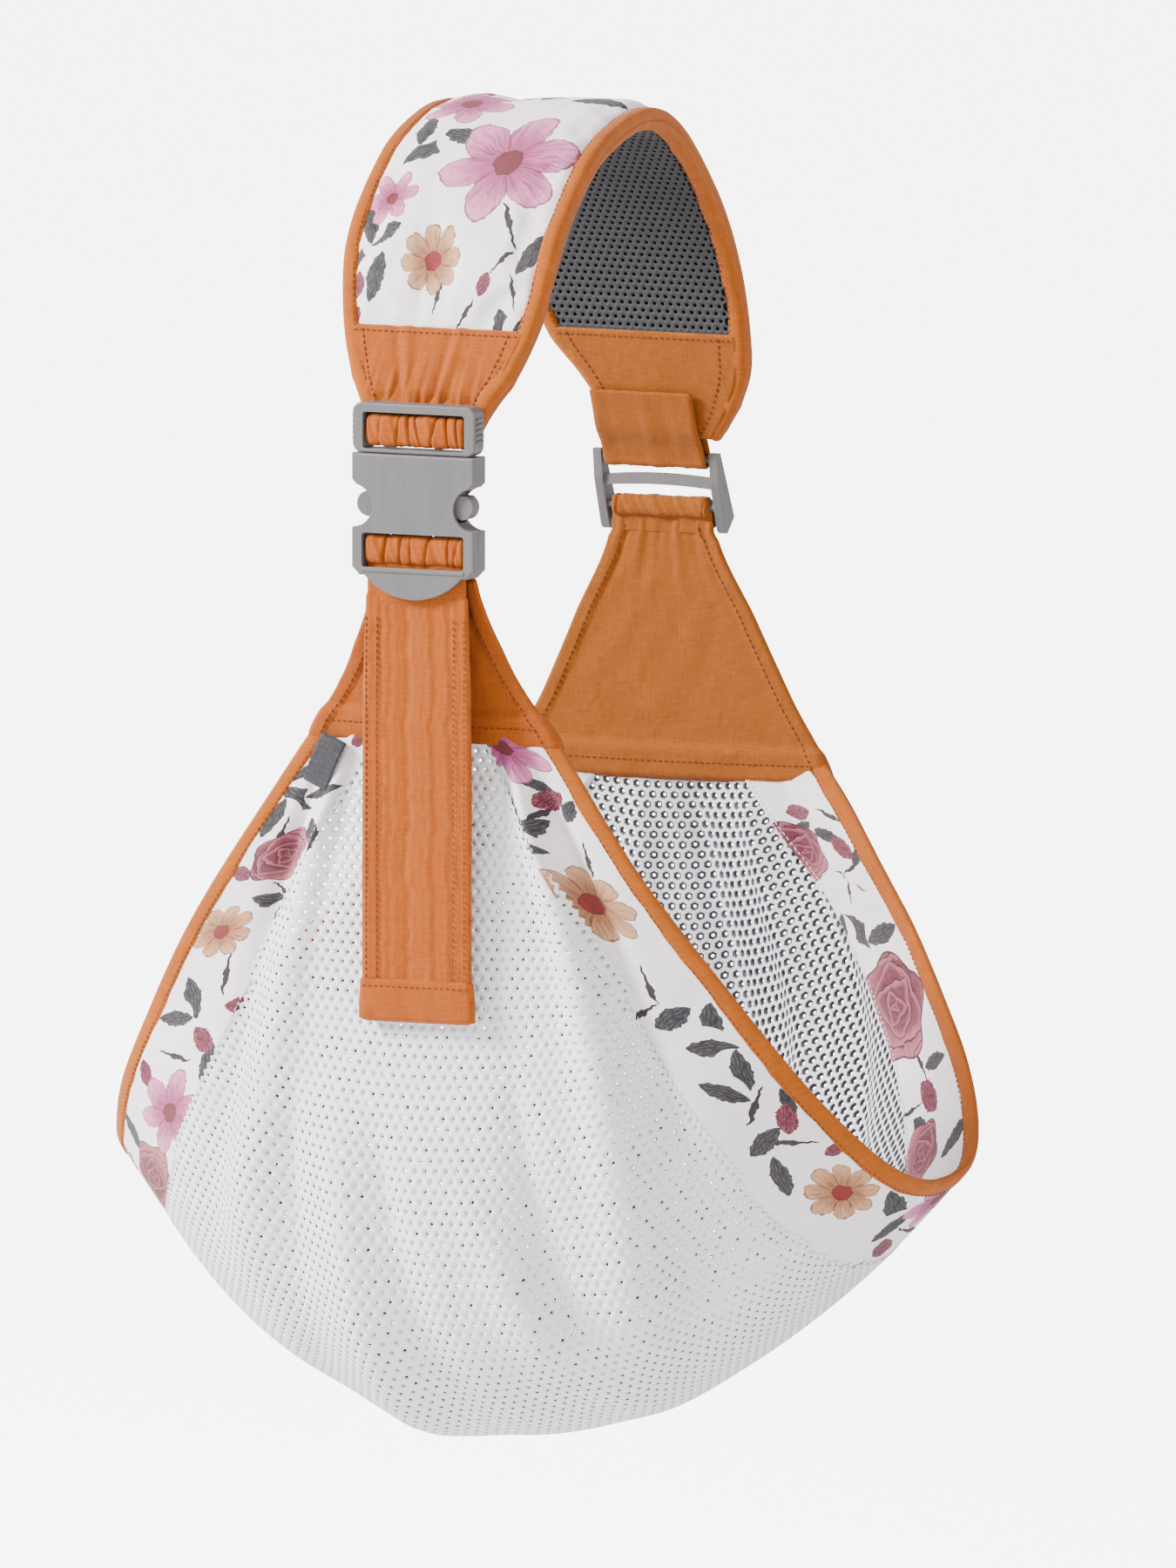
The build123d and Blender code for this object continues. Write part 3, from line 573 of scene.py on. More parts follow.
def print_material(name, stems, leaves, buds, roses, creams, lilies):
    """White cotton printed with flowers, each given by its spots on the cloth."""
    made, n, surface = material(name)
    uv = n.add("ShaderNodeUVMap", uv_map="UVMap").outputs[0]
    weave = n.call(WEAVE, Position=uv, Thread=0.00042)
    soil = n.call(HANDLED, Position=uv)
    colour = n.mix(n.times(weave["Slub"], 0.5), rgb("#F6EDEE"), rgb("#E8DCE0"))
    for spots, group, look in (
        (stems, LEAF, {"Width": 0.09, **STEM}),
        (leaves, LEAF, {"Width": 0.40, **GREY_LEAF}),
        (buds, LEAF, {"Width": 0.55, **BUD}),
        (roses, ROSE, ROSE_COLOURS),
        (creams, BLOSSOM, {"Petals": 8.0, "Point": 0.35, "Core_Size": 0.24, **CREAM}),
        (lilies, BLOSSOM, {"Petals": 6.0, "Point": 1.0, "Core_Size": 0.19, **LILY}),
    ):
        drawn = n.call(group, Position=place(n, uv, spots), **look)
        colour = n.mix(drawn["Mask"], colour, drawn["Colour"])
    colour = n.mix(n.times(weave["Height"], 0.10), colour, n.mix(0.5, colour, (0, 0, 0, 1)))
    colour = n.mix(n.times(soil["Soil"], 0.10), colour, rgb("#B9AEA6"))
    creases = n.call(CREASES, Position=uv, Scale=26.0)
    # painted shade: the colour is darkened towards #A79DA6 in the crease hollows
    n.put(surface["Base Color"], n.mix(n.times(creases["Hollow"], 0.10), colour, n.mix(0.4, colour, rgb(
        "#A79DA6"))))
    n.put(surface["Roughness"], n.between(weave["Slub"], 0.0, 1.0, 0.68, 0.82))
    surface["Sheen Weight"].default_value = 0.06
    surface["Specular IOR Level"].default_value = 0.25
    soft = bumped(n, creases["Height"], 0.0035, 0.6)
    n.put(surface["Normal"], bumped(n, weave["Height"], 0.00012, 0.6, soft))
    return made


def cotton_material(name, colour, shade, by_uv=True, crease=24.0, deep=0.003):
    """Plain dyed cotton with slubs, creases with painted shade in their hollows, and a little soiling."""
    made, n, surface = material(name)
    if by_uv:
        at = n.add("ShaderNodeUVMap", uv_map="UVMap").outputs[0]
    else:
        at = n.add("ShaderNodeTexCoord").outputs["Object"]
    weave = n.call(WEAVE, Position=at, Thread=0.0005)
    creases = n.call(CREASES, Position=at, Scale=crease)
    handled = n.call(HANDLED, Position=at)
    base = n.mix(weave["Slub"], rgb(colour), rgb(shade))
    # painted shade: darker in the crease hollows
    base = n.mix(n.times(creases["Hollow"], 0.35), base, rgb(shade, 0.72))
    base = n.mix(n.times(handled["Soil"], 0.16), base, rgb(shade, 0.6))
    base = n.mix(n.times(weave["Height"], 0.22), base, rgb(shade, 0.5))
    n.put(surface["Base Color"], n.mix(n.times(handled["Speck"], 0.12), base, rgb("#DDA04A")))
    n.put(surface["Roughness"], n.between(weave["Slub"], 0.0, 1.0, 0.66, 0.84))
    surface["Sheen Weight"].default_value = 0.06
    surface["Specular IOR Level"].default_value = 0.2
    soft = bumped(n, creases["Height"], deep, 0.7)
    n.put(surface["Normal"], bumped(n, weave["Height"], 0.00016, 0.8, soft))
    return made


def knit_material(name, light, dark, scale=1.0, sheen=0.05):
    """Warp-knitted mesh yarn: fine ribs of loops, with painted shade in the grooves between them."""
    made, n, surface = material(name)
    at = n.add("ShaderNodeTexCoord").outputs["Object"]
    x, y, z = n.xyz(at)
    rib = n.math("SINE", n.times(n.plus(x, n.times(y, 0.7)), TAU / (0.0009 * scale)))
    loop = n.math("SINE", n.times(n.plus(z, n.times(y, 0.5)), TAU / (0.0007 * scale)))
    height = n.times(n.plus(rib, loop), 0.5)
    handled = n.call(HANDLED, Position=at)
    # painted shade: the yarn colour goes from dark in the grooves to light on the tops of the ribs and loops
    base = n.mix(n.between(height, -1.0, 0.8), rgb(dark), rgb(light))
    base = n.mix(n.times(handled["Soil"], 0.22), base, rgb(dark, 0.8))
    n.put(surface["Base Color"], base)
    n.put(surface["Roughness"], n.between(height, -1.0, 1.0, 0.75, 0.5))
    surface["Sheen Weight"].default_value = sheen
    surface["Specular IOR Level"].default_value = 0.25
    fuzz = n.noise(at, 1800.0, 2.0)
    n.put(surface["Normal"], bumped(n, n.plus(height, fuzz), 0.00012, 0.7))
    return made


def plastic_material(name, colour, worn_and_highlight, rough):
    """Moulded plastic: spark-eroded grain, faint flow marks, rubbed edges lightened partly as wear and
    partly as a painted highlight, and hairline scratches.
    """
    made, n, surface = material(name)
    at = n.add("ShaderNodeTexCoord").outputs["Object"]
    grain = n.noise(at, 2600.0, 2.0, 0.5)
    flow = n.noise(n.vector("MULTIPLY", at, (1.0, 1.0, 0.25)), 90.0, 4.0, 0.6, 1.0)
    handled = n.call(HANDLED, Position=at)
    scratch = n.noise(n.vector("MULTIPLY", at, (1.0, 0.3, 0.04)), 1500.0, 2.0, 0.4)
    scratches = n.times(n.between(scratch, 0.66, 0.70), n.between(flow, 0.4, 0.6))
    edge = n.add("ShaderNodeBevel", samples=4)
    edge.inputs["Radius"].default_value = 0.0006
    geometry = n.add("ShaderNodeNewGeometry")
    # wear and painted highlight: the edges found by the bevel normal are lightened towards the lighter grey
    # and made smoother
    edge_wear_and_highlight = n.between(n.vector("DOT_PRODUCT", edge.outputs[0], geometry.outputs["Normal"]), 0.97, 0.80)
    base = n.mix(n.between(flow, 0.35, 0.68), rgb(colour), rgb(colour, 0.86))
    base = n.mix(n.times(edge_wear_and_highlight, 0.55), base, rgb(worn_and_highlight))
    base = n.mix(n.times(handled["Soil"], 0.18), base, rgb("#55504C"))
    n.put(surface["Base Color"], n.mix(n.times(scratches, 0.3), base, rgb(worn_and_highlight)))
    roughness = n.plus(n.between(flow, 0.3, 0.7, rough - 0.05, rough + 0.07), n.times(edge_wear_and_highlight, -0.08))
    n.put(surface["Roughness"], roughness)
    surface["IOR"].default_value = 1.46
    soft = bumped(n, flow, 0.0005, 0.25, edge.outputs[0])
    n.put(surface["Normal"], bumped(n, grain, 0.00006, 0.5, soft))
    return made


# --- repeated detail --------------------------------------------------------------------------------
def geometry_tree(name, inputs):
    """A geometry tree that takes and gives a mesh, with further inputs."""
    tree = bpy.data.node_groups.new(name, "GeometryNodeTree")
    tree.interface.new_socket("Geometry", in_out="INPUT", socket_type="NodeSocketGeometry")
    tree.interface.new_socket("Geometry", in_out="OUTPUT", socket_type="NodeSocketGeometry")
    for label, kind in inputs.items():
        tree.interface.new_socket(label, in_out="INPUT", socket_type=kind)
    n = Nodes(tree)
    return tree, n, n.add("NodeGroupInput").outputs, n.add("NodeGroupOutput").inputs


def made_of(n, geometry, material, selection=None):
    """The geometry with a material on all of it, or on the selected faces."""
    node = n.add("GeometryNodeSetMaterial")
    n.put(node.inputs["Geometry"], geometry)
    n.put(node.inputs["Selection"], selection)
    n.put(node.inputs["Material"], material)
    return node.outputs[0]


def make_perforate():
    """Turns a triangle lattice into cloth of two layers, joined by funnel-shaped holes whose walls take a
    darker material as painted shade.
    """
    tree, n, given, out = geometry_tree("Perforate", {
        "Hole": "NodeSocketFloat", "Back Hole": "NodeSocketFloat", "Depth": "NodeSocketFloat",
        "Material": "NodeSocketMaterial", "Hole Material": "NodeSocketMaterial"})
    cells = n.add("GeometryNodeDualMesh")
    n.put(cells.inputs["Mesh"], given["Geometry"])

    def pierced(mesh, selection, depth, scale):
        extruded = n.add("GeometryNodeExtrudeMesh", mode="FACES")
        n.put(extruded.inputs["Mesh"], mesh)
        if selection is not None:
            n.put(extruded.inputs["Selection"], selection)
        n.put(extruded.inputs["Offset Scale"], depth)
        extruded.inputs["Individual"].default_value = True
        shrunk = n.add("GeometryNodeScaleElements", domain="FACE")
        n.put(shrunk.inputs["Geometry"], extruded.outputs["Mesh"])
        n.put(shrunk.inputs["Selection"], extruded.outputs["Top"])
        n.put(shrunk.inputs["Scale"], scale)
        return shrunk.outputs[0], extruded.outputs["Top"], extruded.outputs["Side"]

    def without(mesh, selection):
        opened = n.add("GeometryNodeDeleteGeometry", domain="FACE")
        n.put(opened.inputs["Geometry"], mesh)
        n.put(opened.inputs["Selection"], selection)
        return opened.outputs[0]

    inward = n.times(given["Depth"], -1.0)
    face, top, _ = pierced(cells.outputs[0], None, 0.0, given["Hole"])
    front, end, wall = pierced(face, top, inward, n.math("DIVIDE", given["Back Hole"], given["Hole"]))
    behind = n.add("GeometryNodeSetPosition")
    n.put(behind.inputs["Geometry"], cells.outputs[0])
    n.put(behind.inputs["Offset"], n.vector("SCALE", n.add("GeometryNodeInputNormal").outputs[0],
        scale=inward))
    back, back_top, _ = pierced(behind.outputs[0], None, 0.0, given["Back Hole"])
    flipped = n.add("GeometryNodeFlipFaces")
    n.put(flipped.inputs[0], without(back, back_top))
    surface = made_of(n, flipped.outputs[0], given["Material"])
    upper = made_of(n, without(front, end), given["Material"])
    # painted shade: the funnel walls take the hole material, a darker copy of the yarn
    lined = made_of(n, upper, given["Hole Material"], wall)
    joined = n.add("GeometryNodeJoinGeometry")
    n.put(joined.inputs[0], lined)
    n.put(joined.inputs[0], surface)
    welded = n.add("GeometryNodeMergeByDistance")
    n.put(welded.inputs["Geometry"], joined.outputs[0])
    welded.inputs["Distance"].default_value = 0.00015
    real = n.add("GeometryNodeRealizeInstances")
    n.put(real.inputs[0], welded.outputs[0])
    n.put(out[0], real.outputs[0])
    return tree


def make_stitching():
    """Lays a thread capsule every Gap along the edges of its input."""
    tree, n, given, out = geometry_tree("Stitching", {
        "Gap": "NodeSocketFloat", "Long": "NodeSocketFloat", "Thick": "NodeSocketFloat",
        "Material": "NodeSocketMaterial"})
    line = n.add("GeometryNodeMeshToCurve")
    n.put(line.inputs[0], given["Geometry"])
    even = n.add("GeometryNodeResampleCurve", mode="LENGTH")
    n.put(even.inputs["Curve"], line.outputs[0])
    n.put(even.inputs["Length"], given["Gap"])
    ball = n.add("GeometryNodeMeshUVSphere")
    ball.inputs["Segments"].default_value = 6
    ball.inputs["Rings"].default_value = 5
    ball.inputs["Radius"].default_value = 0.5
    turn = n.add("FunctionNodeAlignRotationToVector", axis="X")
    n.put(turn.inputs["Vector"], n.add("GeometryNodeInputTangent").outputs[0])
    vary = n.add("FunctionNodeRandomValue", data_type="FLOAT")
    vary.inputs[2].default_value = 0.85
    vary.inputs[3].default_value = 1.1
    vary.inputs["Seed"].default_value = 5
    placed = n.add("GeometryNodeInstanceOnPoints")
    n.put(placed.inputs["Points"], even.outputs[0])
    n.put(placed.inputs["Instance"], ball.outputs[0])
    n.put(placed.inputs["Rotation"], turn.outputs[0])
    n.put(placed.inputs["Scale"], n.combine(n.times(given["Long"], vary.outputs[1]), given["Thick"],
        given["Thick"]))
    real = n.add("GeometryNodeRealizeInstances")
    n.put(real.inputs[0], placed.outputs[0])
    n.put(out[0], made_of(n, real.outputs[0], given["Material"]))
    return tree


def baked(obj, tree, **values):
    """Runs a geometry tree on obj and leaves a plain mesh."""
    modifier = obj.modifiers.new(tree.name, "NODES")
    modifier.node_group = tree
    for item in tree.interface.items_tree:
        if item.in_out == "INPUT" and item.name.replace(" ", "_") in values:
            modifier[item.identifier] = values[item.name.replace(" ", "_")]
    return flattened(obj)


def flattened(obj):
    """Replaces obj's mesh by what its modifiers make of it."""
    bpy.context.view_layer.update()
    graph = bpy.context.evaluated_depsgraph_get()
    data = bpy.data.meshes.new_from_object(obj.evaluated_get(graph), preserve_all_data_layers=True,
        depsgraph=graph)
    obj.modifiers.clear()
    old = obj.data
    obj.data = data
    bpy.data.meshes.remove(old)
    data.name = obj.name
    data.shade_smooth()
    return obj


PERFORATE, STITCHING = make_perforate(), make_stitching()


def stitches(name, lines, thread, body, gap=3.1, long=2.3, thick=0.62):
    """Rows of stitches along lines of points, riding on body."""
    points, edges = [], []
    for line in lines:
        start = sum(len(p) for p in points)
        points.append(np.asarray(line, float))
        edges += [(start + i, start + i + 1) for i in range(len(line) - 1)]
    data = bpy.data.meshes.new(name)
    data.from_pydata([tuple(p) for p in np.concatenate(points) * MM], edges, [])
    obj = bpy.data.objects.new(name, data)
    bpy.context.scene.collection.objects.link(obj)
    baked(obj, STITCHING, Gap=gap * MM, Long=long * MM, Thick=thick * MM, Material=thread)
    if body:
        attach(obj, body)
    return obj


def lattice(rows, row_step, pitch, spans):
    """A staggered triangle lattice: spans gives each row's lowest and highest place across."""
    index, places, faces = {}, [], []
    for i in range(rows):
        low, high = spans[i]
        shift = pitch / 2 if i % 2 else 0.0
        for j in range(math.ceil((low - shift) / pitch), math.floor((high - shift) / pitch) + 1):
            index[i, j] = len(places)
            places.append((i * row_step, j * pitch + shift))
    for (i, j), a in index.items():
        right = index.get((i, j + 1))
        up_left, up_right = (j, j + 1) if i % 2 else (j - 1, j)
        above_left, above_right = index.get((i + 1, up_left)), index.get((i + 1, up_right))
        if None not in (above_left, above_right):
            faces.append((a, above_right, above_left))
        if None not in (right, above_right):
            faces.append((a, right, above_right))
    return np.array(places), faces


# --- soft pieces ------------------------------------------------------------------------------------
def strip(name, path, half, thick, material, rows=60, columns=27, crease=0.0, seed=1, edge=0.0, puff=0.0):
    """A width of cloth along a path of (y, z) points, with lengthwise creases."""
    path = np.asarray(path, float)
    line = curve(path, np.linspace(0, len(path) - 1, rows * 4))
    arc = lengths(line)
    at = np.linspace(0, arc[-1], rows)
    line = np.stack([np.interp(at, arc, line[:, 0]), np.interp(at, arc, line[:, 1])], 1)
    tangent = np.gradient(line, axis=0)
    side = unit(np.stack([-tangent[:, 1], tangent[:, 0]], 1))
    x = np.linspace(-1, 1, columns)
    width = np.interp(at, np.linspace(0, arc[-1], len(np.atleast_1d(half))), np.atleast_1d(half))
    wave = crease * wobble(x[None, :] * 7 + 0.3 * wobble(at[:, None] / 9, seed + 3), seed) * (
        1 - 0.6 * x[None, :] ** 8)
    swell = puff * (1 - x[None, :] ** 4) * np.sin(np.pi * np.clip(at[:, None] / arc[-1], 0.02,
        0.98)) ** 0.4
    thickness = thick / 2 + edge * (np.abs(x[None, :]) > 0.72) + 0 * at[:, None] + swell
    sides = []
    for sign in (-1, 1):
        off = wave + sign * thickness
        sides.append(np.stack([
            x[None, :] * width[:, None] + 0 * off,
            line[:, None, 0] + side[:, None, 0] * off,
            line[:, None, 1] + side[:, None, 1] * off], -1))
    uv = np.stack(np.broadcast_arrays(x[None, :] * width[:, None], at[:, None]), -1) * MM
    return shell(name, sides[0], sides[1], material, uv)


def roll(name, y, z, half, high, deep, material, seed, creases=13, rows=120, columns=40):
    """Webbing bunched round a bar along x, squeezed into upright creases."""
    pick = np.random.default_rng(seed)
    x = np.linspace(-half, half, rows)
    centre = np.linspace(-half * 0.9, half * 0.9, creases) + pick.uniform(-2.2, 2.2, creases)
    depth = pick.uniform(0.5, 2.1, creases)
    lean = pick.uniform(-0.3, 0.3, creases)
    wide = pick.uniform(0.4, 0.8, creases)
    angle = np.linspace(0, TAU, columns, endpoint=False)
    up, out = np.sin(angle), np.cos(angle)
    groove = sum(
        d * bump_at(x[:, None] - tilt * up[None, :] * high / 2 * 0.8, c, w)
        for c, d, tilt, w in zip(centre, depth, lean, wide))
    swell = 0.55 * wobble(x[:, None] / 3.4 + 0.9 * up[None, :], seed + 1)
    end = np.clip((half - np.abs(x)) / 1.6, 0, 1)[:, None] ** 0.5
    rim_y = (deep / 2 - groove + swell) * (0.55 + 0.45 * end)
    rim_z = (high / 2 - 0.5 * groove + 0.5 * swell) * (0.6 + 0.4 * end)
    squarish = (np.abs(up) ** 3 + np.abs(out) ** 3) ** (-1 / 3)
    rings = np.stack(np.broadcast_arrays(x[:, None], y + rim_y * out * squarish,
        z + rim_z * up * squarish), -1)
    uv = np.stack(np.broadcast_arrays(x[:, None], angle * (high + deep) / 4), -1) * MM
    return tube(name, rings, material, uv)


def neck(name, top, low, outline, low_half, low_side, material, pleats, seed, swell, arched):
    """The gathered cloth between a strap and the pouch: outline gives (height below the top, half width)."""
    side_hem, low_hem = 7.5, 16.5   # how far in the doubled edges reach
    rows, columns = 70, 81
    t = np.linspace(0, 1, rows)
    x = np.linspace(-1, 1, columns)
    drop = t * (top[1] - low[1])
    below, wide = zip(*outline, (top[1] - low[1], low_half))
    half = curve(np.array(wide)[:, None], np.interp(drop, below, np.arange(len(below))))[:, 0]
    y = top[0] + (low[0] - top[0]) * t[:, None] + low_side * t[:, None] ** 2 * x[None, :] ** 2
    z = top[1] - drop[:, None] + arched * t[:, None] ** 3 * x[None, :] ** 2
    gather = np.exp(-drop / 30)[:, None]
    wave = pleats * gather * wobble(x[None, :] * 8.5 + 0.25 * wobble(t[:, None] * 6, seed + 1), seed,
        (1.0, 1.9, 3.3))
    belly = np.sin(np.pi * t)[:, None] * (1 - x[None, :] ** 2)
    wave = wave + swell * belly * wobble(x[None, :] * 3 + t[:, None] * 4, seed + 2)
    inset = half[:, None] * (1 - np.abs(x[None, :]))
    above_low = drop[-1] - drop[:, None]
    doubled = 0.75 * (inset < side_hem) + 2.1 * np.clip((low_hem - above_low) / 3.5, 0, 1)
    sides = []
    for sign in (-1, 1):
        off = wave + sign * (1.15 + doubled)
        sides.append(np.stack([x[None, :] * half[:, None] + 0 * off, y + off, z + 0 * off], -1))
    uv = np.stack(np.broadcast_arrays(x[None, :] * half[:, None], drop[:, None]), -1) * MM
    obj = shell(name, sides[0], sides[1], material, uv)
    return obj, sides, half, drop


def binding(name, line, inward, normal, deep, thick, material, seed, pucker=0.12, offset=0.4):
    """A folded tape round an edge: it wraps line and reaches deep inwards, thickest at the fold."""
    arc = lengths(line)
    angle = np.linspace(0, TAU, 28, endpoint=False)
    c, s = np.cos(angle), np.sin(angle)
    square = (np.abs(c) ** 2.6 + np.abs(s) ** 2.6) ** (-1 / 2.6)
    reach = deep / 2 * (1 - c * square)
    body = thick / 2 * s * square
    puckers = 1 + pucker * wobble(arc[:, None] / 3.2 + 0.6 * np.sign(s), seed, (0.55, 0.9, 1.7)) * (
        0.5 - 0.5 * c)
    fat = 1 + 0.05 * wobble(arc[:, None] / 11, seed + 1)
    rings = (line[:, None] + inward[:, None] * (reach * fat - offset)[..., None]
             + normal[:, None] * (body * puckers * fat)[..., None])
    uv = np.stack(np.broadcast_arrays(arc[:, None], angle * (deep + thick) / 4), -1) * MM
    return tube(name, rings, material, uv)


# --- materials --------------------------------------------------------------------------------------
PAD_PRINT = dict(   # spots as (across, along, radius, turn)
    stems=[(-2, 66, 9, 80), (14, 58, 10, 60), (22, 46, 11, -20), (-26, 34, 9, 85), (31, 84, 9, 50),
        (38, 70, 9, 100), (30, 100, 13, 120),
           (-10, 190, 16, 20), (20, 300, 14, 70), (-22, 262, 15, -30)],
    leaves=[(-42, 84, 12, 60), (-36, 93, 11, 20), (-44, 98, 10, 110), (-35, 74, 12, 75),
        (-27, 142, 16, 40), (-14, 150, 13, -15), (-36, 154, 12, 100),
            (34, 50, 13, 100), (44, 52, 10, 70), (38, 40, 10, 10), (44, 88, 11, 60), (-2, 30, 9, 10),
            (12, 205, 15, 60), (-12, 215, 14, 130),
            (34, 196, 14, 10), (-38, 228, 14, 40), (40, 262, 14, 70), (-14, 296, 14, 20),
            (18, 332, 13, 80), (-36, 330, 12, 120)],
    buds=[(23, 73, 6, 70), (45, 38, 8, 80), (-45, 70, 7, 80), (-46, 54, 7, 60), (27, 214, 8, 30),
        (-30, 204, 8, 120), (4, 262, 8, 60), (38, 318, 8, 100)],
    roses=[(16, 236, 22, 40), (-22, 318, 20, 10)],
    creams=[(-7, 83, 17, 10), (-28, 43, 6, 0), (-28, 246, 17, 50), (24, 290, 18, 80)],
    lilies=[(16.5, 134, 38, 20), (-37, 112, 16, 70), (-26, 182, 26, 50), (34, 344, 18, 0)],
)
BAND_PRINT = {   # spots as (along the rim, in from the rim, radius, turn)
    "left": dict(
        stems=[(72, 22, 12, 10), (104, 40, 10, 60), (150, 36, 14, 20), (200, 30, 12, 100),
            (330, 30, 14, 40), (470, 34, 14, 10)],
        leaves=[(20, 13, 10, 30), (33, 14, 10, 140), (50, 18, 13, 60), (62, 12, 12, 0), (46, 30, 10, 110),
            (70, 40, 11, 40), (110, 38, 11, 80),
                (118, 46, 10, 20), (168, 24, 13, 40), (182, 20, 11, 110), (196, 52, 12, 20),
                (258, 18, 12, 60), (306, 40, 15, 20), (318, 24, 13, 100),
                (392, 22, 15, 40), (404, 42, 14, 130), (452, 28, 13, 60), (500, 40, 14, 20),
                (548, 24, 13, 100)],
        buds=[(12, 30, 7, 20), (95, 14, 7, 60), (186, 42, 9, 60), (165, 52, 8, 100), (218, 16, 8, 40),
            (350, 20, 9, 80), (430, 48, 9, 10), (570, 34, 8, 40)],
        roses=[(84, 30, 18, 20), (268, 44, 22, 80), (372, 44, 24, 10), (524, 24, 20, 60)],
        creams=[(129, 21, 17, 0), (290, 16, 13, 30), (340, 46, 17, 0), (474, 22, 18, 40)],
        lilies=[(228, 42, 25, 130), (424, 18, 20, 40), (560, 48, 18, 0)],
    ),
    "right": dict(
        stems=[(52, 30, 13, 60), (78, 22, 12, 20), (148, 34, 14, 15), (160, 46, 12, 70),
            (214, 26, 13, 50), (238, 24, 12, 120), (330, 36, 14, 20),
               (530, 24, 12, 30), (536, 18, 9, 90), (526, 30, 8, -30), (412, 50, 10, 80),
               (565, 12, 11, 40), (426, 34, 11, 10)],
        leaves=[(36, 24, 9, 120), (50, 16, 9, 40), (62, 40, 12, 60), (72, 46, 9, 110), (170, 18, 13, 30),
            (182, 25, 12, 100), (164, 33, 12, 70),
                (196, 20, 12, 20), (204, 34, 11, 130), (218, 12, 8, 10), (232, 34, 11, 70),
                (250, 40, 11, 20), (300, 18, 14, 30), (312, 30, 12, 100),
                (346, 20, 14, 50), (505, 39, 15, 20), (496, 24, 14, 80), (512, 52, 11, 130),
                (558, 22, 9, 50), (540, 10, 8, 120), (566, 36, 9, 100),
                (420, 22, 10, 70), (398, 44, 11, 30), (374, 16, 13, 100)],
        buds=[(44, 23, 10, 60), (226, 18, 9, 30), (251, 11, 6, 90), (548, 17, 9, 20), (574, 31, 8, 80),
            (409, 34, 11, 20), (322, 46, 9, 50), (352, 44, 9, 0)],
        roses=[(460, 38, 32, 30), (556, 44, 18, 60), (386, 46, 18, 0)],
        creams=[(103, 35, 23, 10), (272, 25, 18, 40)],
        lilies=[(14, 30, 24, 60), (328, 14, 20, 30)],
    ),
}

pad_print = print_material("print_cotton_pad", **PAD_PRINT)
band_print = {side: print_material(f"print_cotton_{side}", **look) for side, look in BAND_PRINT.items()}
mustard = cotton_material("mustard_cotton", "#AC5300", "#9A4700")
# painted shade: a darker copy of the mustard cotton for the pieces at the rear
mustard_shaded = cotton_material("mustard_cotton_rear", "#9C5200", "#8C4600")
tape = cotton_material("mustard_tape", "#B25A00", "#A04E00", crease=60.0, deep=0.0008)
thread = cotton_material("mustard_thread", "#7A3606", "#5C2804", by_uv=False)
white_knit = knit_material("white_mesh", "#F4F2F5", "#DAD8DE")
# painted shade: a dark grey copy of the white mesh yarn for the hole walls
hole_shade_knit = knit_material("white_mesh_hole", "#605D66", "#3E3C44")
grey_knit = knit_material("grey_mesh", "#3C3B3E", "#2A292C", 0.8, 0.0)
# painted shade: a near-black copy of the grey lining yarn for its hole walls
grey_hole_shade = knit_material("grey_mesh_hole", "#0E0E10", "#08080A", 1.0, 0.0)
dark_foam = knit_material("foam", "#151517", "#0C0C0E", 0.7, 0.0)
ribbon = cotton_material("grey_ribbon", "#4C4B4F", "#38373B", crease=50.0, deep=0.0006)
plastic = plastic_material("grey_plastic", "#605C5C", "#7E7A7A", 0.46)

# --- pouch ------------------------------------------------------------------------------------------
PITCH = 5.4
ROW = PITCH * math.sqrt(3) / 2
HIDDEN = 8.0       # the mesh reaches this far under the printed bands
MESH_LIFT = 0.8
SPLIT = 4.9        # the station at which the front mesh ends and the rear one begins
MEASURED_AT = 0.4  # the rows are evenly spaced along the line this share of the way to the rim
BAND_START = 3.0   # the printed bands begin this far in from the rim
BAND_MIDDLE, BAND_HALF = 0.3, 1.6   # the middle of their thickness above the cloth's surface, and half of it

knots_u = np.linspace(0, LAST, 1200)
middle_arc = lengths(taut(knots_u, MEASURED_AT + 0 * knots_u))

row_count = int(middle_arc[-1] / ROW) + 2
row_u = np.interp(np.linspace(0, middle_arc[-1], row_count), middle_arc, knots_u)
row_half = half_cloth(row_u) - band_width(row_u) + HIDDEN
split = int(np.argmin(np.abs(row_u - SPLIT))) // 2 * 2
meshes = []
for name, first, last in (("pouch_mesh_front", 0, split + 2), ("pouch_mesh_rear", split, row_count)):
    places, faces = lattice(last - first, ROW, PITCH, [(-h, h) for h in row_half[first:last]])
    u = np.interp(places[:, 0] / ROW + first, np.arange(row_count), row_u)
    q = places[:, 1] / half_cloth(u)
    cloth = make(name, pouch(u, q, MESH_LIFT), faces, white_knit)
    baked(cloth, PERFORATE, Hole=0.68, Back_Hole=0.24, Depth=1.6 * MM, Material=white_knit,
        Hole_Material=hole_shade_knit)
    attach(cloth, "pouch")
    meshes.append(cloth)
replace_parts(meshes[0], "pouch_mesh")

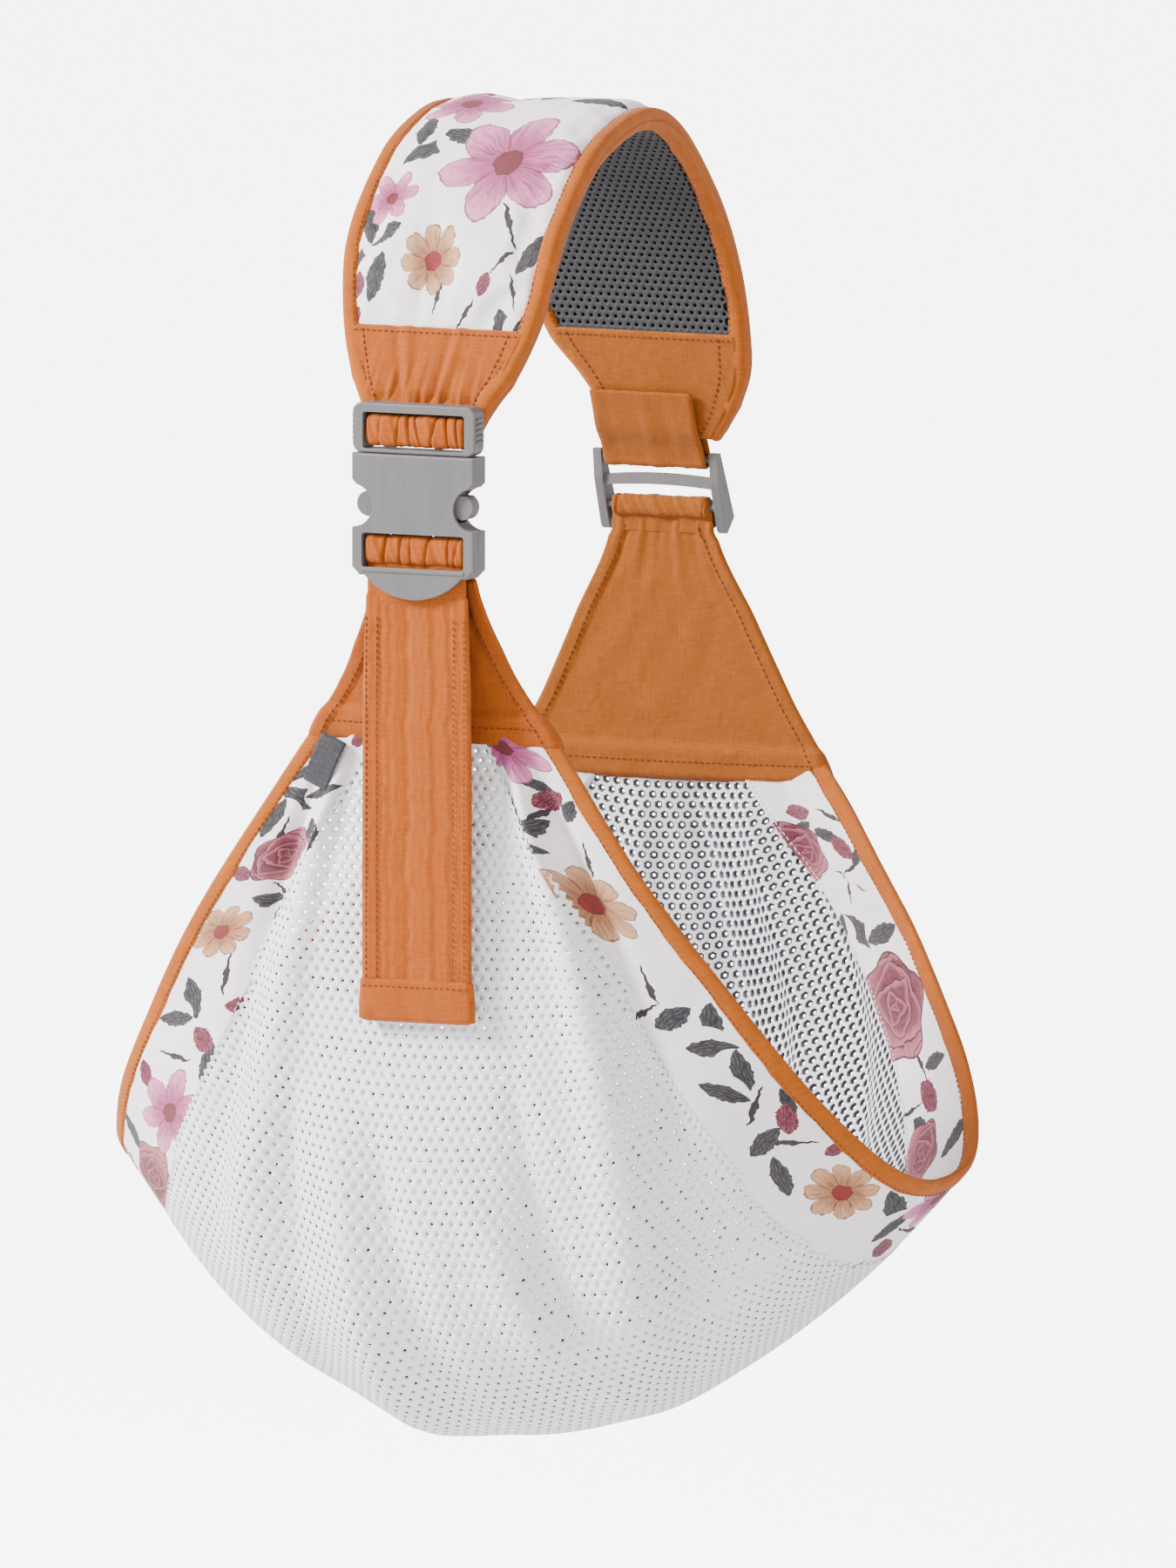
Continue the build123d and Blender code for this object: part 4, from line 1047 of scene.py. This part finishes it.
u = np.linspace(0, LAST, 210)
for side, name in ((-1, "left"), (1, "right")):
    wide = band_width(u)
    share = np.linspace(0, 1, 26)
    edge_line = pouch(u, from_rim(u, 0, side))
    edge_arc = lengths(edge_line)
    off_rim = BAND_START + (wide[:, None] - BAND_START) * (1 - share[None, :])
    q = from_rim(u[:, None], off_rim, side)
    near = np.clip(off_rim - 11, 0, 14) / 14
    ripple = 1.1 * wobble(edge_arc[:, None] / 7 + 0.8 * share[None, :], 31 + side) * near * (1.15 - near)
    sides = [pouch(u[:, None], q, BAND_MIDDLE + ripple + sign * BAND_HALF) for sign in (-1, 1)]
    uv = np.stack(np.broadcast_arrays(edge_arc[:, None], off_rim), -1) * MM
    band = shell(f"pouch_print_{name}", sides[0], sides[1], band_print[name], uv)
    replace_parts(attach(band, "pouch"), f"pouch_print_{name}")
    seam = [sides[s][:, 1] + normals(u, q[:, 1]) * (0.25 if s else -0.25) for s in (0, 1)]
    stitches(f"pouch_print_seam_{name}", seam, white_knit, "pouch", thick=0.5)

    inward = unit(pouch(u, from_rim(u, 1.0, side)) - pouch(u, from_rim(u, 0.0, side)))
    out = normals(u, from_rim(u, 0.0, side))
    hem = binding(f"pouch_binding_{name}", edge_line + out * 0.3, inward, out, 10.5, 5.0, tape, 41 + side,
        0.06)
    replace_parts(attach(hem, "pouch"), f"pouch_binding_{name}")
    at = edge_line + inward * 8.3
    stitches(f"pouch_binding_stitch_{name}", [at + out * 2.5, at - out * 1.9], thread, "pouch",
        thick=0.55)

# --- shoulder pad -----------------------------------------------------------------------------------
COVER_START, COVER_END = pad_at_height(-92, True), pad_at_height(-111, False)
INSET = 5.5            # the cover stops this far short of the pad's edges
COVER_VOXEL = 0.0042
COVER_PUFF = 0.0045    # the most the cover moves when it is blown up
SETTLING = 20          # frames
FOAM_BELOW = 3.2       # the cover's faces nearer the underside than this are foam
LINING_PITCH = 4.3
LINING_ROW = LINING_PITCH * 0.866
LINING_INSET = 4.0
LINING_OVER = 8        # the lining reaches this far past each end of the cover


def pad_shell(name, start, end, low, high, inset, material, rows, columns, wave):
    """A layer of the pad from start to end along it, low to high above its underside, and its two sides."""
    arc = np.linspace(start, end, rows)
    across = pad_across(np.linspace(-1, 1, columns)[None, :], arc[:, None], inset)
    wave = wave(arc[:, None], across)
    sides = [pad_point(across, arc[:, None], lift + wave * share) for lift,
        share in ((low, 0.15), (high, 1.0))]
    uv = np.stack(np.broadcast_arrays(across, arc[:, None]), -1) * MM
    return shell(name, sides[0], sides[1], material, uv), sides


def drape_pad(obj):
    """Blows the cover up a little against its seams, so that it wrinkles like a stuffed pad."""
    remesh = obj.modifiers.new("Remesh", "REMESH")
    remesh.mode = "VOXEL"
    remesh.voxel_size = COVER_VOXEL
    flattened(obj)
    x = np.array([v.co.x for v in obj.data.vertices])
    arc, _, lift = pad_place(np.array([v.co for v in obj.data.vertices]) / MM)
    to_side = pad_across(np.sign(x), arc, INSET) * np.sign(x) - np.abs(x) / MM
    seam = np.minimum(to_side, np.minimum(arc - COVER_START, COVER_END - arc))
    pins = obj.vertex_groups.new(name="pins")
    for i, near in enumerate(seam):
        hold = 1.0 if near < 3 or lift[i] < 3 else 0.0
        pins.add([i], hold, "REPLACE")
    start = np.array([v.co for v in obj.data.vertices])
    cloth = obj.modifiers.new("Cloth", "CLOTH")
    cloth.settings.vertex_group_mass = "pins"
    cloth.settings.use_pressure = True
    cloth.settings.uniform_pressure_force = 4.0
    cloth.settings.effector_weights.gravity = 0.0
    cloth.settings.shrink_min = -0.05
    cloth.settings.tension_stiffness = 12
    cloth.settings.compression_stiffness = 12
    cloth.settings.bending_stiffness = 0.35
    cloth.point_cache.frame_start, cloth.point_cache.frame_end = 1, SETTLING
    for frame_number in range(1, SETTLING + 1):
        bpy.context.scene.frame_set(frame_number)
    flattened(obj)
    bpy.context.scene.frame_set(1)
    moved = np.array([v.co for v in obj.data.vertices]) - start
    size = np.linalg.norm(moved, axis=1, keepdims=True)
    capped = start + moved * np.minimum(1, COVER_PUFF / np.maximum(size, 1e-9))
    obj.data.vertices.foreach_set("co", capped.astype(np.float32).ravel())
    obj.vertex_groups.clear()
    smooth = obj.modifiers.new("Subdivision", "SUBSURF")
    smooth.levels = smooth.render_levels = 1
    flattened(obj)


def pad_place(points):
    """Distance along the pad, across it, and out from its underside, of points in millimetres."""
    yz = np.asarray(points)[:, 1:]
    nearest = np.argmin(((yz[:, None, :] - pad_line[None, ::2, :]) ** 2).sum(-1), axis=1) * 2
    arc = pad_arc[nearest]
    ahead = pad_line[np.minimum(nearest + 1, PAD_STEPS - 1)] - pad_line[np.maximum(nearest - 1, 0)]
    ahead /= np.linalg.norm(ahead, axis=1, keepdims=True)
    away = yz - pad_line[nearest]
    return arc + (away * ahead).sum(1), np.asarray(points)[:, 0], away[:, 1] * ahead[:, 0] - away[:,
        0] * ahead[:, 1]


def cover_wave(arc, across):
    """The cover's stuffed shape: full in the middle and held down at its seams."""
    edge = np.clip((pad_across(np.sign(across), arc, INSET) * np.sign(across) - np.abs(across)) / 9, 0, 1)
    ends = np.clip(np.minimum(arc - COVER_START, COVER_END - arc) / 14, 0, 1)
    return 1.6 * np.sqrt(edge * ends) - 1.2 + 0.35 * wobble(arc / 17 + across / 40, 61) * edge


cover, _ = pad_shell("pad_cover", COVER_START, COVER_END, 1.9, 9.6, INSET, pad_print, 150, 44, cover_wave)
drape_pad(cover)
corner = np.array([v.co for v in cover.data.vertices]) / MM
arc, across, lift = pad_place(corner)
layer = cover.data.uv_layers.get("UVMap") or cover.data.uv_layers.new(name="UVMap")
index = np.zeros(len(cover.data.loops), np.int32)
cover.data.loops.foreach_get("vertex_index", index)
layer.data.foreach_set("uv", (np.stack([across, arc], 1)[index] * MM).astype(np.float32).ravel())
cover.data.materials.append(dark_foam)
middle = pad_place(np.array([p.center for p in cover.data.polygons]) / MM)[2]
cover.data.polygons.foreach_set("material_index", (middle < FOAM_BELOW).astype(np.int32))
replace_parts(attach(cover, "shoulder"), "pad_cover", "pad_foam")

rows = int((COVER_END - COVER_START + 2 * LINING_OVER) / LINING_ROW)
row_arc = COVER_START - LINING_OVER + np.arange(rows) * LINING_ROW
spans = list(zip(pad_across(-1.0, row_arc, LINING_INSET), pad_across(1.0, row_arc, LINING_INSET)))
places, faces = lattice(rows, LINING_ROW, LINING_PITCH, spans)
under_pad = pad_point(places[:, 1], places[:, 0] + COVER_START - LINING_OVER, 0.5)
lining = make("pad_lining", under_pad, [f[::-1] for f in faces], grey_knit)
baked(lining, PERFORATE, Hole=0.42, Back_Hole=0.36, Depth=1.0 * MM, Material=grey_knit,
    Hole_Material=grey_hole_shade)
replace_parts(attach(lining, "shoulder"), "pad_lining")


def front_wave(arc, across):
    """Pleats that gather the front end towards the buckle, and its end tucked in."""
    near = np.clip((COVER_START + 2 - arc) / 40, 0, 1)
    pleats = 2.2 * bump_at(across, 13 - 5 * near, 2.6) - 1.6 * bump_at(across, 8 - 4 * near, 2)
    pleats = pleats + 2.0 * bump_at(across, -15 + 6 * near, 2.6) - 1.4 * bump_at(across, -21 + 8 * near,
        2)
    pleats = pleats + 1.1 * wobble(across / 3.2 + near, 71) * near
    return 0.2 + pleats * (0.35 + near) - 3.6 * np.clip((18 - arc) / 10, 0, 1)


def rear_wave(arc, across):
    """Faint gathers towards the adjuster."""
    near = np.clip((arc - COVER_END) / 50, 0, 1)
    return -0.4 + 0.8 * wobble(across / 6 + 2 * near, 73) * near


front_panel, front_faces = pad_shell(
    "front_end_panel", 3, COVER_START + 1.5, 0.2, 10.3, 4.5, mustard, 44, 70, front_wave)
rear_panel, rear_faces = pad_shell(
    "rear_end_panel", COVER_END - 1.5, pad_arc[-1] - 4, -0.5, 9.8, 4.5, mustard_shaded, 50, 60, rear_wave)
for panel, node in ((front_panel, "front_end_panel"), (rear_panel, "rear_end_panel")):
    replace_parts(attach(panel, "shoulder"), node)

seams = []
for (low, high), row in ((front_faces, -3), (rear_faces, 2)):
    for face, sign in ((high, 1), (low, -1)):
        lift = unit(high - low) * 0.3 * sign
        seams.append((face + lift)[row, 2:-2])
        seams += [(face + lift)[2:-2, 5], (face + lift)[2:-2, -6]]
stitches("pad_panel_stitches", seams, thread, "shoulder")

arc = np.linspace(1.5, pad_arc[-1] - 1.5, 260)
for side, name in ((-1, "left"), (1, "right")):
    edge = side * pad_half(arc, side)
    line = pad_point(edge, arc, 5.1 - 1.6 * np.clip((16 - arc) / 10, 0, 1))
    out = unit(pad_point(edge, arc, 9.0 + 0 * arc) - line)
    inward = unit(np.cross(np.gradient(line, axis=0), out) * side * -1)
    inward = inward * np.where((inward[:, :1] * side) > 0, -1, 1)
    trim = binding(f"pad_binding_{name}", line, inward, out, 9.4, 11.0, tape, 51 + side, 0.03, 0.6)
    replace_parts(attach(trim, "shoulder"), f"pad_binding_{name}")
    at = line + inward * 6.6
    stitches(f"pad_binding_stitch_{name}", [at + out * 5.2, at - out * 5.2], thread, "shoulder",
        thick=0.55)

# --- straps -----------------------------------------------------------------------------------------
z_plug, z_ladder = -134.2, -191.4   # heights of the bars that the webbing is bunched round
front_loop = roll("front_pad_strap", BUCKLE_Y, z_plug, 26.6, 15.8, 11.0, mustard, 3, creases=8)
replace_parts(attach(front_loop, "shoulder"), "front_pad_strap")
lead = strip("front_pad_strap_lead", [(-134.5, -138), (-136.2, -131), (-133.2, -124), (-126.6, -112), (
    -121.6, -101)],
             [23, 26, 30], 2.6, mustard, crease=1.1, seed=5)
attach(lead, "shoulder")
ladder_loop = roll("front_strap_roll", BUCKLE_Y, z_ladder, 26.6, 14.8, 11.0, mustard, 11, creases=7)
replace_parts(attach(ladder_loop, "socket"), "front_strap_roll")
drop = strip("front_strap_drop", [(-141.5, -196), (-141.6, -205), (-141.5, -217.4)], 25.4, 2.4, mustard,
    crease=0.4, seed=8, rows=24)
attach(drop, "socket")
run = strip("front_strap_run", [(-137.5, -196.5), (-135.8, -201), (-132.6, -205), (-131.4, -212)],
    [25, 27], 2.4, mustard, crease=0.6, seed=9, rows=30)
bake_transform(run)
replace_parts(run, "front_strap_run")

rear_loop = strip(
    "rear_pad_strap",
    [(106.2, -139), (109.3, -147), (112.8, -157), (118.4, -165), (121.2, -171), (122.3, -174.2),
        (124.9, -175.3),
     (127.6, -174.0), (128.0, -170.5), (125.6, -164), (121.5, -157)],
    [26.5, 26.2, 26], 2.3, mustard_shaded, rows=110, crease=0.35, seed=21)
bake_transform(rear_loop)
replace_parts(rear_loop, "rear_pad_strap")
rear_roll = roll("rear_strap_roll", 130.75, -195.5, 25.6, 10.0, 9.6, mustard_shaded, 23, creases=2)
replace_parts(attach(rear_roll, "adjuster"), "rear_strap_roll")
rear_run = strip("rear_strap_run", [(130.6, -197.5), (131.0, -202), (131.5, -208)], 26, 2.2, mustard_shaded,
    crease=0.5, seed=25, rows=24)
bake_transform(rear_run)
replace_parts(rear_run, "rear_strap_run")

tail = strip("tail_strap", [(-141.4, -214), (-141.6, -245), (-141.3, -300), (-141.6, -360), (-141.5,
    -401.5)],
             [26, 27.6, 28, 28, 28], 2.2, mustard, rows=150, columns=57, crease=0.55, seed=33, edge=0.55)
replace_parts(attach(tail, "tail"), "tail_strap")
tail_hem = strip("tail_hem", [(-141.5, -399.2), (-141.5, -408), (-141.5, -417)], [28.4, 29, 29.2], 5.2,
    mustard, rows=26, crease=0.25, seed=35, puff=0.5)
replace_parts(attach(tail_hem, "tail"), "tail_hem")
TAIL_Y, HEM_SEAM_Z = -141.5, -401.6
z = np.linspace(-225, -397, 86)
x = np.linspace(-27, 27, 40)
lines = []
for at in (-26, -20.2, 20.2, 26):
    lines += [np.stack([0 * z + at, 0 * z + TAIL_Y + face * 2.1, z], 1) for face in (-1, 1)]
lines += [np.stack([x, 0 * x + TAIL_Y + face * 3.15, 0 * x + HEM_SEAM_Z], 1) for face in (-1, 1)]
stitches("tail_stitches", lines, thread, "tail")

# --- necks and tab ----------------------------------------------------------------------------------
necks = (
    ("front_neck", (-132.0, -206.0), (-124.3, -285.0), [(0, 27), (14, 30.5), (32, 38), (52, 48)],
     65.5, 4.2, mustard, 1.5, 81, 1.2, 0.0),
    ("rear_neck", (131.3, -202.6), (141.5, -326.5), [(0, 26), (8, 28), (45, 46), (85, 65)],
     85.0, -2.4, mustard_shaded, 0.9, 83, 0.7, 1.5),
)
SIDE_SEAM, LOW_SEAM = 6.2, 8   # the seams run this far in from the side edges and up from the lower one
for name, top, low, outline, low_half, low_side, cloth, pleats, seed, swell, arched in necks:
    piece, faces, half, fall = neck(name, top, low, outline, low_half, low_side, cloth, pleats, seed,
        swell, arched)
    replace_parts(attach(piece, "pouch"), name)
    lines = []
    for face, sign in zip(faces, (-1, 1)):
        last_column = face.shape[1] - 1
        rows_at = np.arange(len(half))
        above = [0, sign * 0.25, 0]
        for side in (-1, 1):
            column = np.clip((side * (1 - SIDE_SEAM / half) + 1) / 2 * last_column, 0, last_column)
            base = np.floor(column).astype(int).clip(0, last_column - 1)
            f = (column - base)[:, None]
            lines.append((face[rows_at, base] * (1 - f) + face[rows_at, base + 1] * f + above)[2:-2])
        row = int(np.argmin(np.abs(fall[-1] - fall - LOW_SEAM)))
        lines.append(face[row, 4:-4] + above)
    stitches(f"{name}_stitches", lines, thread, "pouch")

tilt = math.radians(-24)
TAB_WIDE, TAB_LONG, TAB_THICK = 13, 25, 1.2
t, x = np.meshgrid(np.linspace(-1, 1, 26), np.linspace(-1, 1, 14), indexing="ij")
across, up = x * TAB_WIDE / 2, t * TAB_LONG / 2
centre = np.array([-54.5, -131.5, -296.5])
curl = 0.012 * up ** 2 + 0.35 * np.sin(up * 2.2)
flat = centre + np.stack([
    across * math.cos(tilt) - up * math.sin(tilt), curl, across * math.sin(tilt) + up * math.cos(tilt)],
        -1)
sides = [flat + [0, sign * TAB_THICK / 2, 0] for sign in (-1, 1)]
tab = shell("side_tab", sides[0], sides[1], ribbon, np.stack([across, up], -1) * MM)
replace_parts(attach(tab, "pouch"), "side_tab")

# --- plastics ---------------------------------------------------------------------------------------
for name in ("buckle_plug", "prong_left", "prong_right", "buckle_socket", "rear_adjuster"):
    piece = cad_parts[name]
    piece.data.materials.clear()
    piece.data.materials.append(plastic)

GRIP_X = 33.0   # fine ribs stand out of both sides of the plug here
GRIP_HEIGHTS = np.arange(-127.0, -140.5, -2.7)
RIB_SIDES = 10
rib_y = BUCKLE_Y + np.array([-3.4, -3.0, 3.0, 3.4])
rib_radius = np.array([0.05, 0.55, 0.55, 0.05])
for side, name in ((-1, "left"), (1, "right")):
    angle = np.linspace(0, TAU, RIB_SIDES, endpoint=False)
    points, faces = [], []
    for z in GRIP_HEIGHTS:
        ring = np.stack(np.broadcast_arrays(
            side * GRIP_X + rib_radius[:, None] * np.cos(angle),
            rib_y[:, None],
            z + rib_radius[:, None] * np.sin(angle)), -1).reshape(-1, 3)
        start = sum(len(p) for p in points)
        faces += grid_faces(len(rib_y), RIB_SIDES, closed=True, start=start)
        last_ring = start + (len(rib_y) - 1) * RIB_SIDES
        faces += [tuple(start + np.arange(RIB_SIDES)), tuple(last_ring + np.arange(RIB_SIDES))]
        points.append(ring)
    rib = outward(make(f"plug_grip_{name}", np.concatenate(points), faces, plastic))
    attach(rib, "shoulder")

# --- setting ----------------------------------------------------------------------------------------
SEEN, PAPER_SEEN = 7.0, 5.3   # how bright the plain setting looks, all round and on the floor
LIT = 1.3                     # how bright the light it sheds on the object is
FLOOR_Z, FLOOR_HALF = -760, 20000
LIT_AT = (0, 0, -0.35)        # from here on in metres
VIEW_CENTRE = (0.0733, -0.1049, -0.304)
VIEW_TURN, VIEW_TIP = math.radians(25.6), math.radians(6)
VIEW_HEIGHT, VIEW_DISTANCE = 0.7506, 3.75


def area_light(name, place_at, size, power):
    """A square lamp aimed at the object."""
    data = bpy.data.lights.new(name, "AREA")
    data.shape, data.size, data.energy = "SQUARE", size, power
    obj = bpy.data.objects.new(name, data)
    bpy.context.scene.collection.objects.link(obj)
    obj.location = place_at
    obj.rotation_euler = (Vector(LIT_AT) - Vector(place_at)).to_track_quat("-Z", "Y").to_euler()


def seen_or_lit(n, seen, lit):
    """A strength that differs between what the camera sees directly and the light it sheds."""
    return n.between(n.add("ShaderNodeLightPath").outputs["Is Camera Ray"], 0.0, 1.0, lit, seen)


area_light("key", (-2.3, -1.7, 1.5), 1.0, 350)
area_light("fill", (2.4, -1.6, 0.2), 2.0, 24)

world = bpy.data.worlds.new("studio")
world.use_nodes = True
n = Nodes(world.node_tree)
light = world.node_tree.nodes["Background"].inputs
light["Color"].default_value = (1, 1, 1, 1)
n.put(light["Strength"], seen_or_lit(n, SEEN, LIT))
bpy.context.scene.world = world

paper, n, surface = material("paper")
surface["Base Color"].default_value = (0.8, 0.8, 0.8, 1)
surface["Roughness"].default_value = 0.9
surface["Emission Color"].default_value = (1, 1, 1, 1)
n.put(surface["Emission Strength"], seen_or_lit(n, PAPER_SEEN, 0.0))
corners = [(x * FLOOR_HALF, y * FLOOR_HALF, FLOOR_Z) for x, y in ((-1, -1), (1, -1), (1, 1), (-1, 1))]
floor = make("floor", corners, [(0, 1, 2, 3)], paper)

data = bpy.data.cameras.new("camera")
data.type, data.sensor_fit, data.ortho_scale = "ORTHO", "VERTICAL", VIEW_HEIGHT
camera = bpy.data.objects.new("camera", data)
bpy.context.scene.collection.objects.link(camera)
aim = Vector((
    -math.sin(VIEW_TURN) * math.cos(VIEW_TIP), math.cos(VIEW_TURN) * math.cos(VIEW_TIP),
    -math.sin(VIEW_TIP)))
camera.location = Vector(VIEW_CENTRE) - aim * VIEW_DISTANCE
camera.rotation_euler = aim.to_track_quat("-Z", "Y").to_euler()
bpy.context.scene.camera = camera
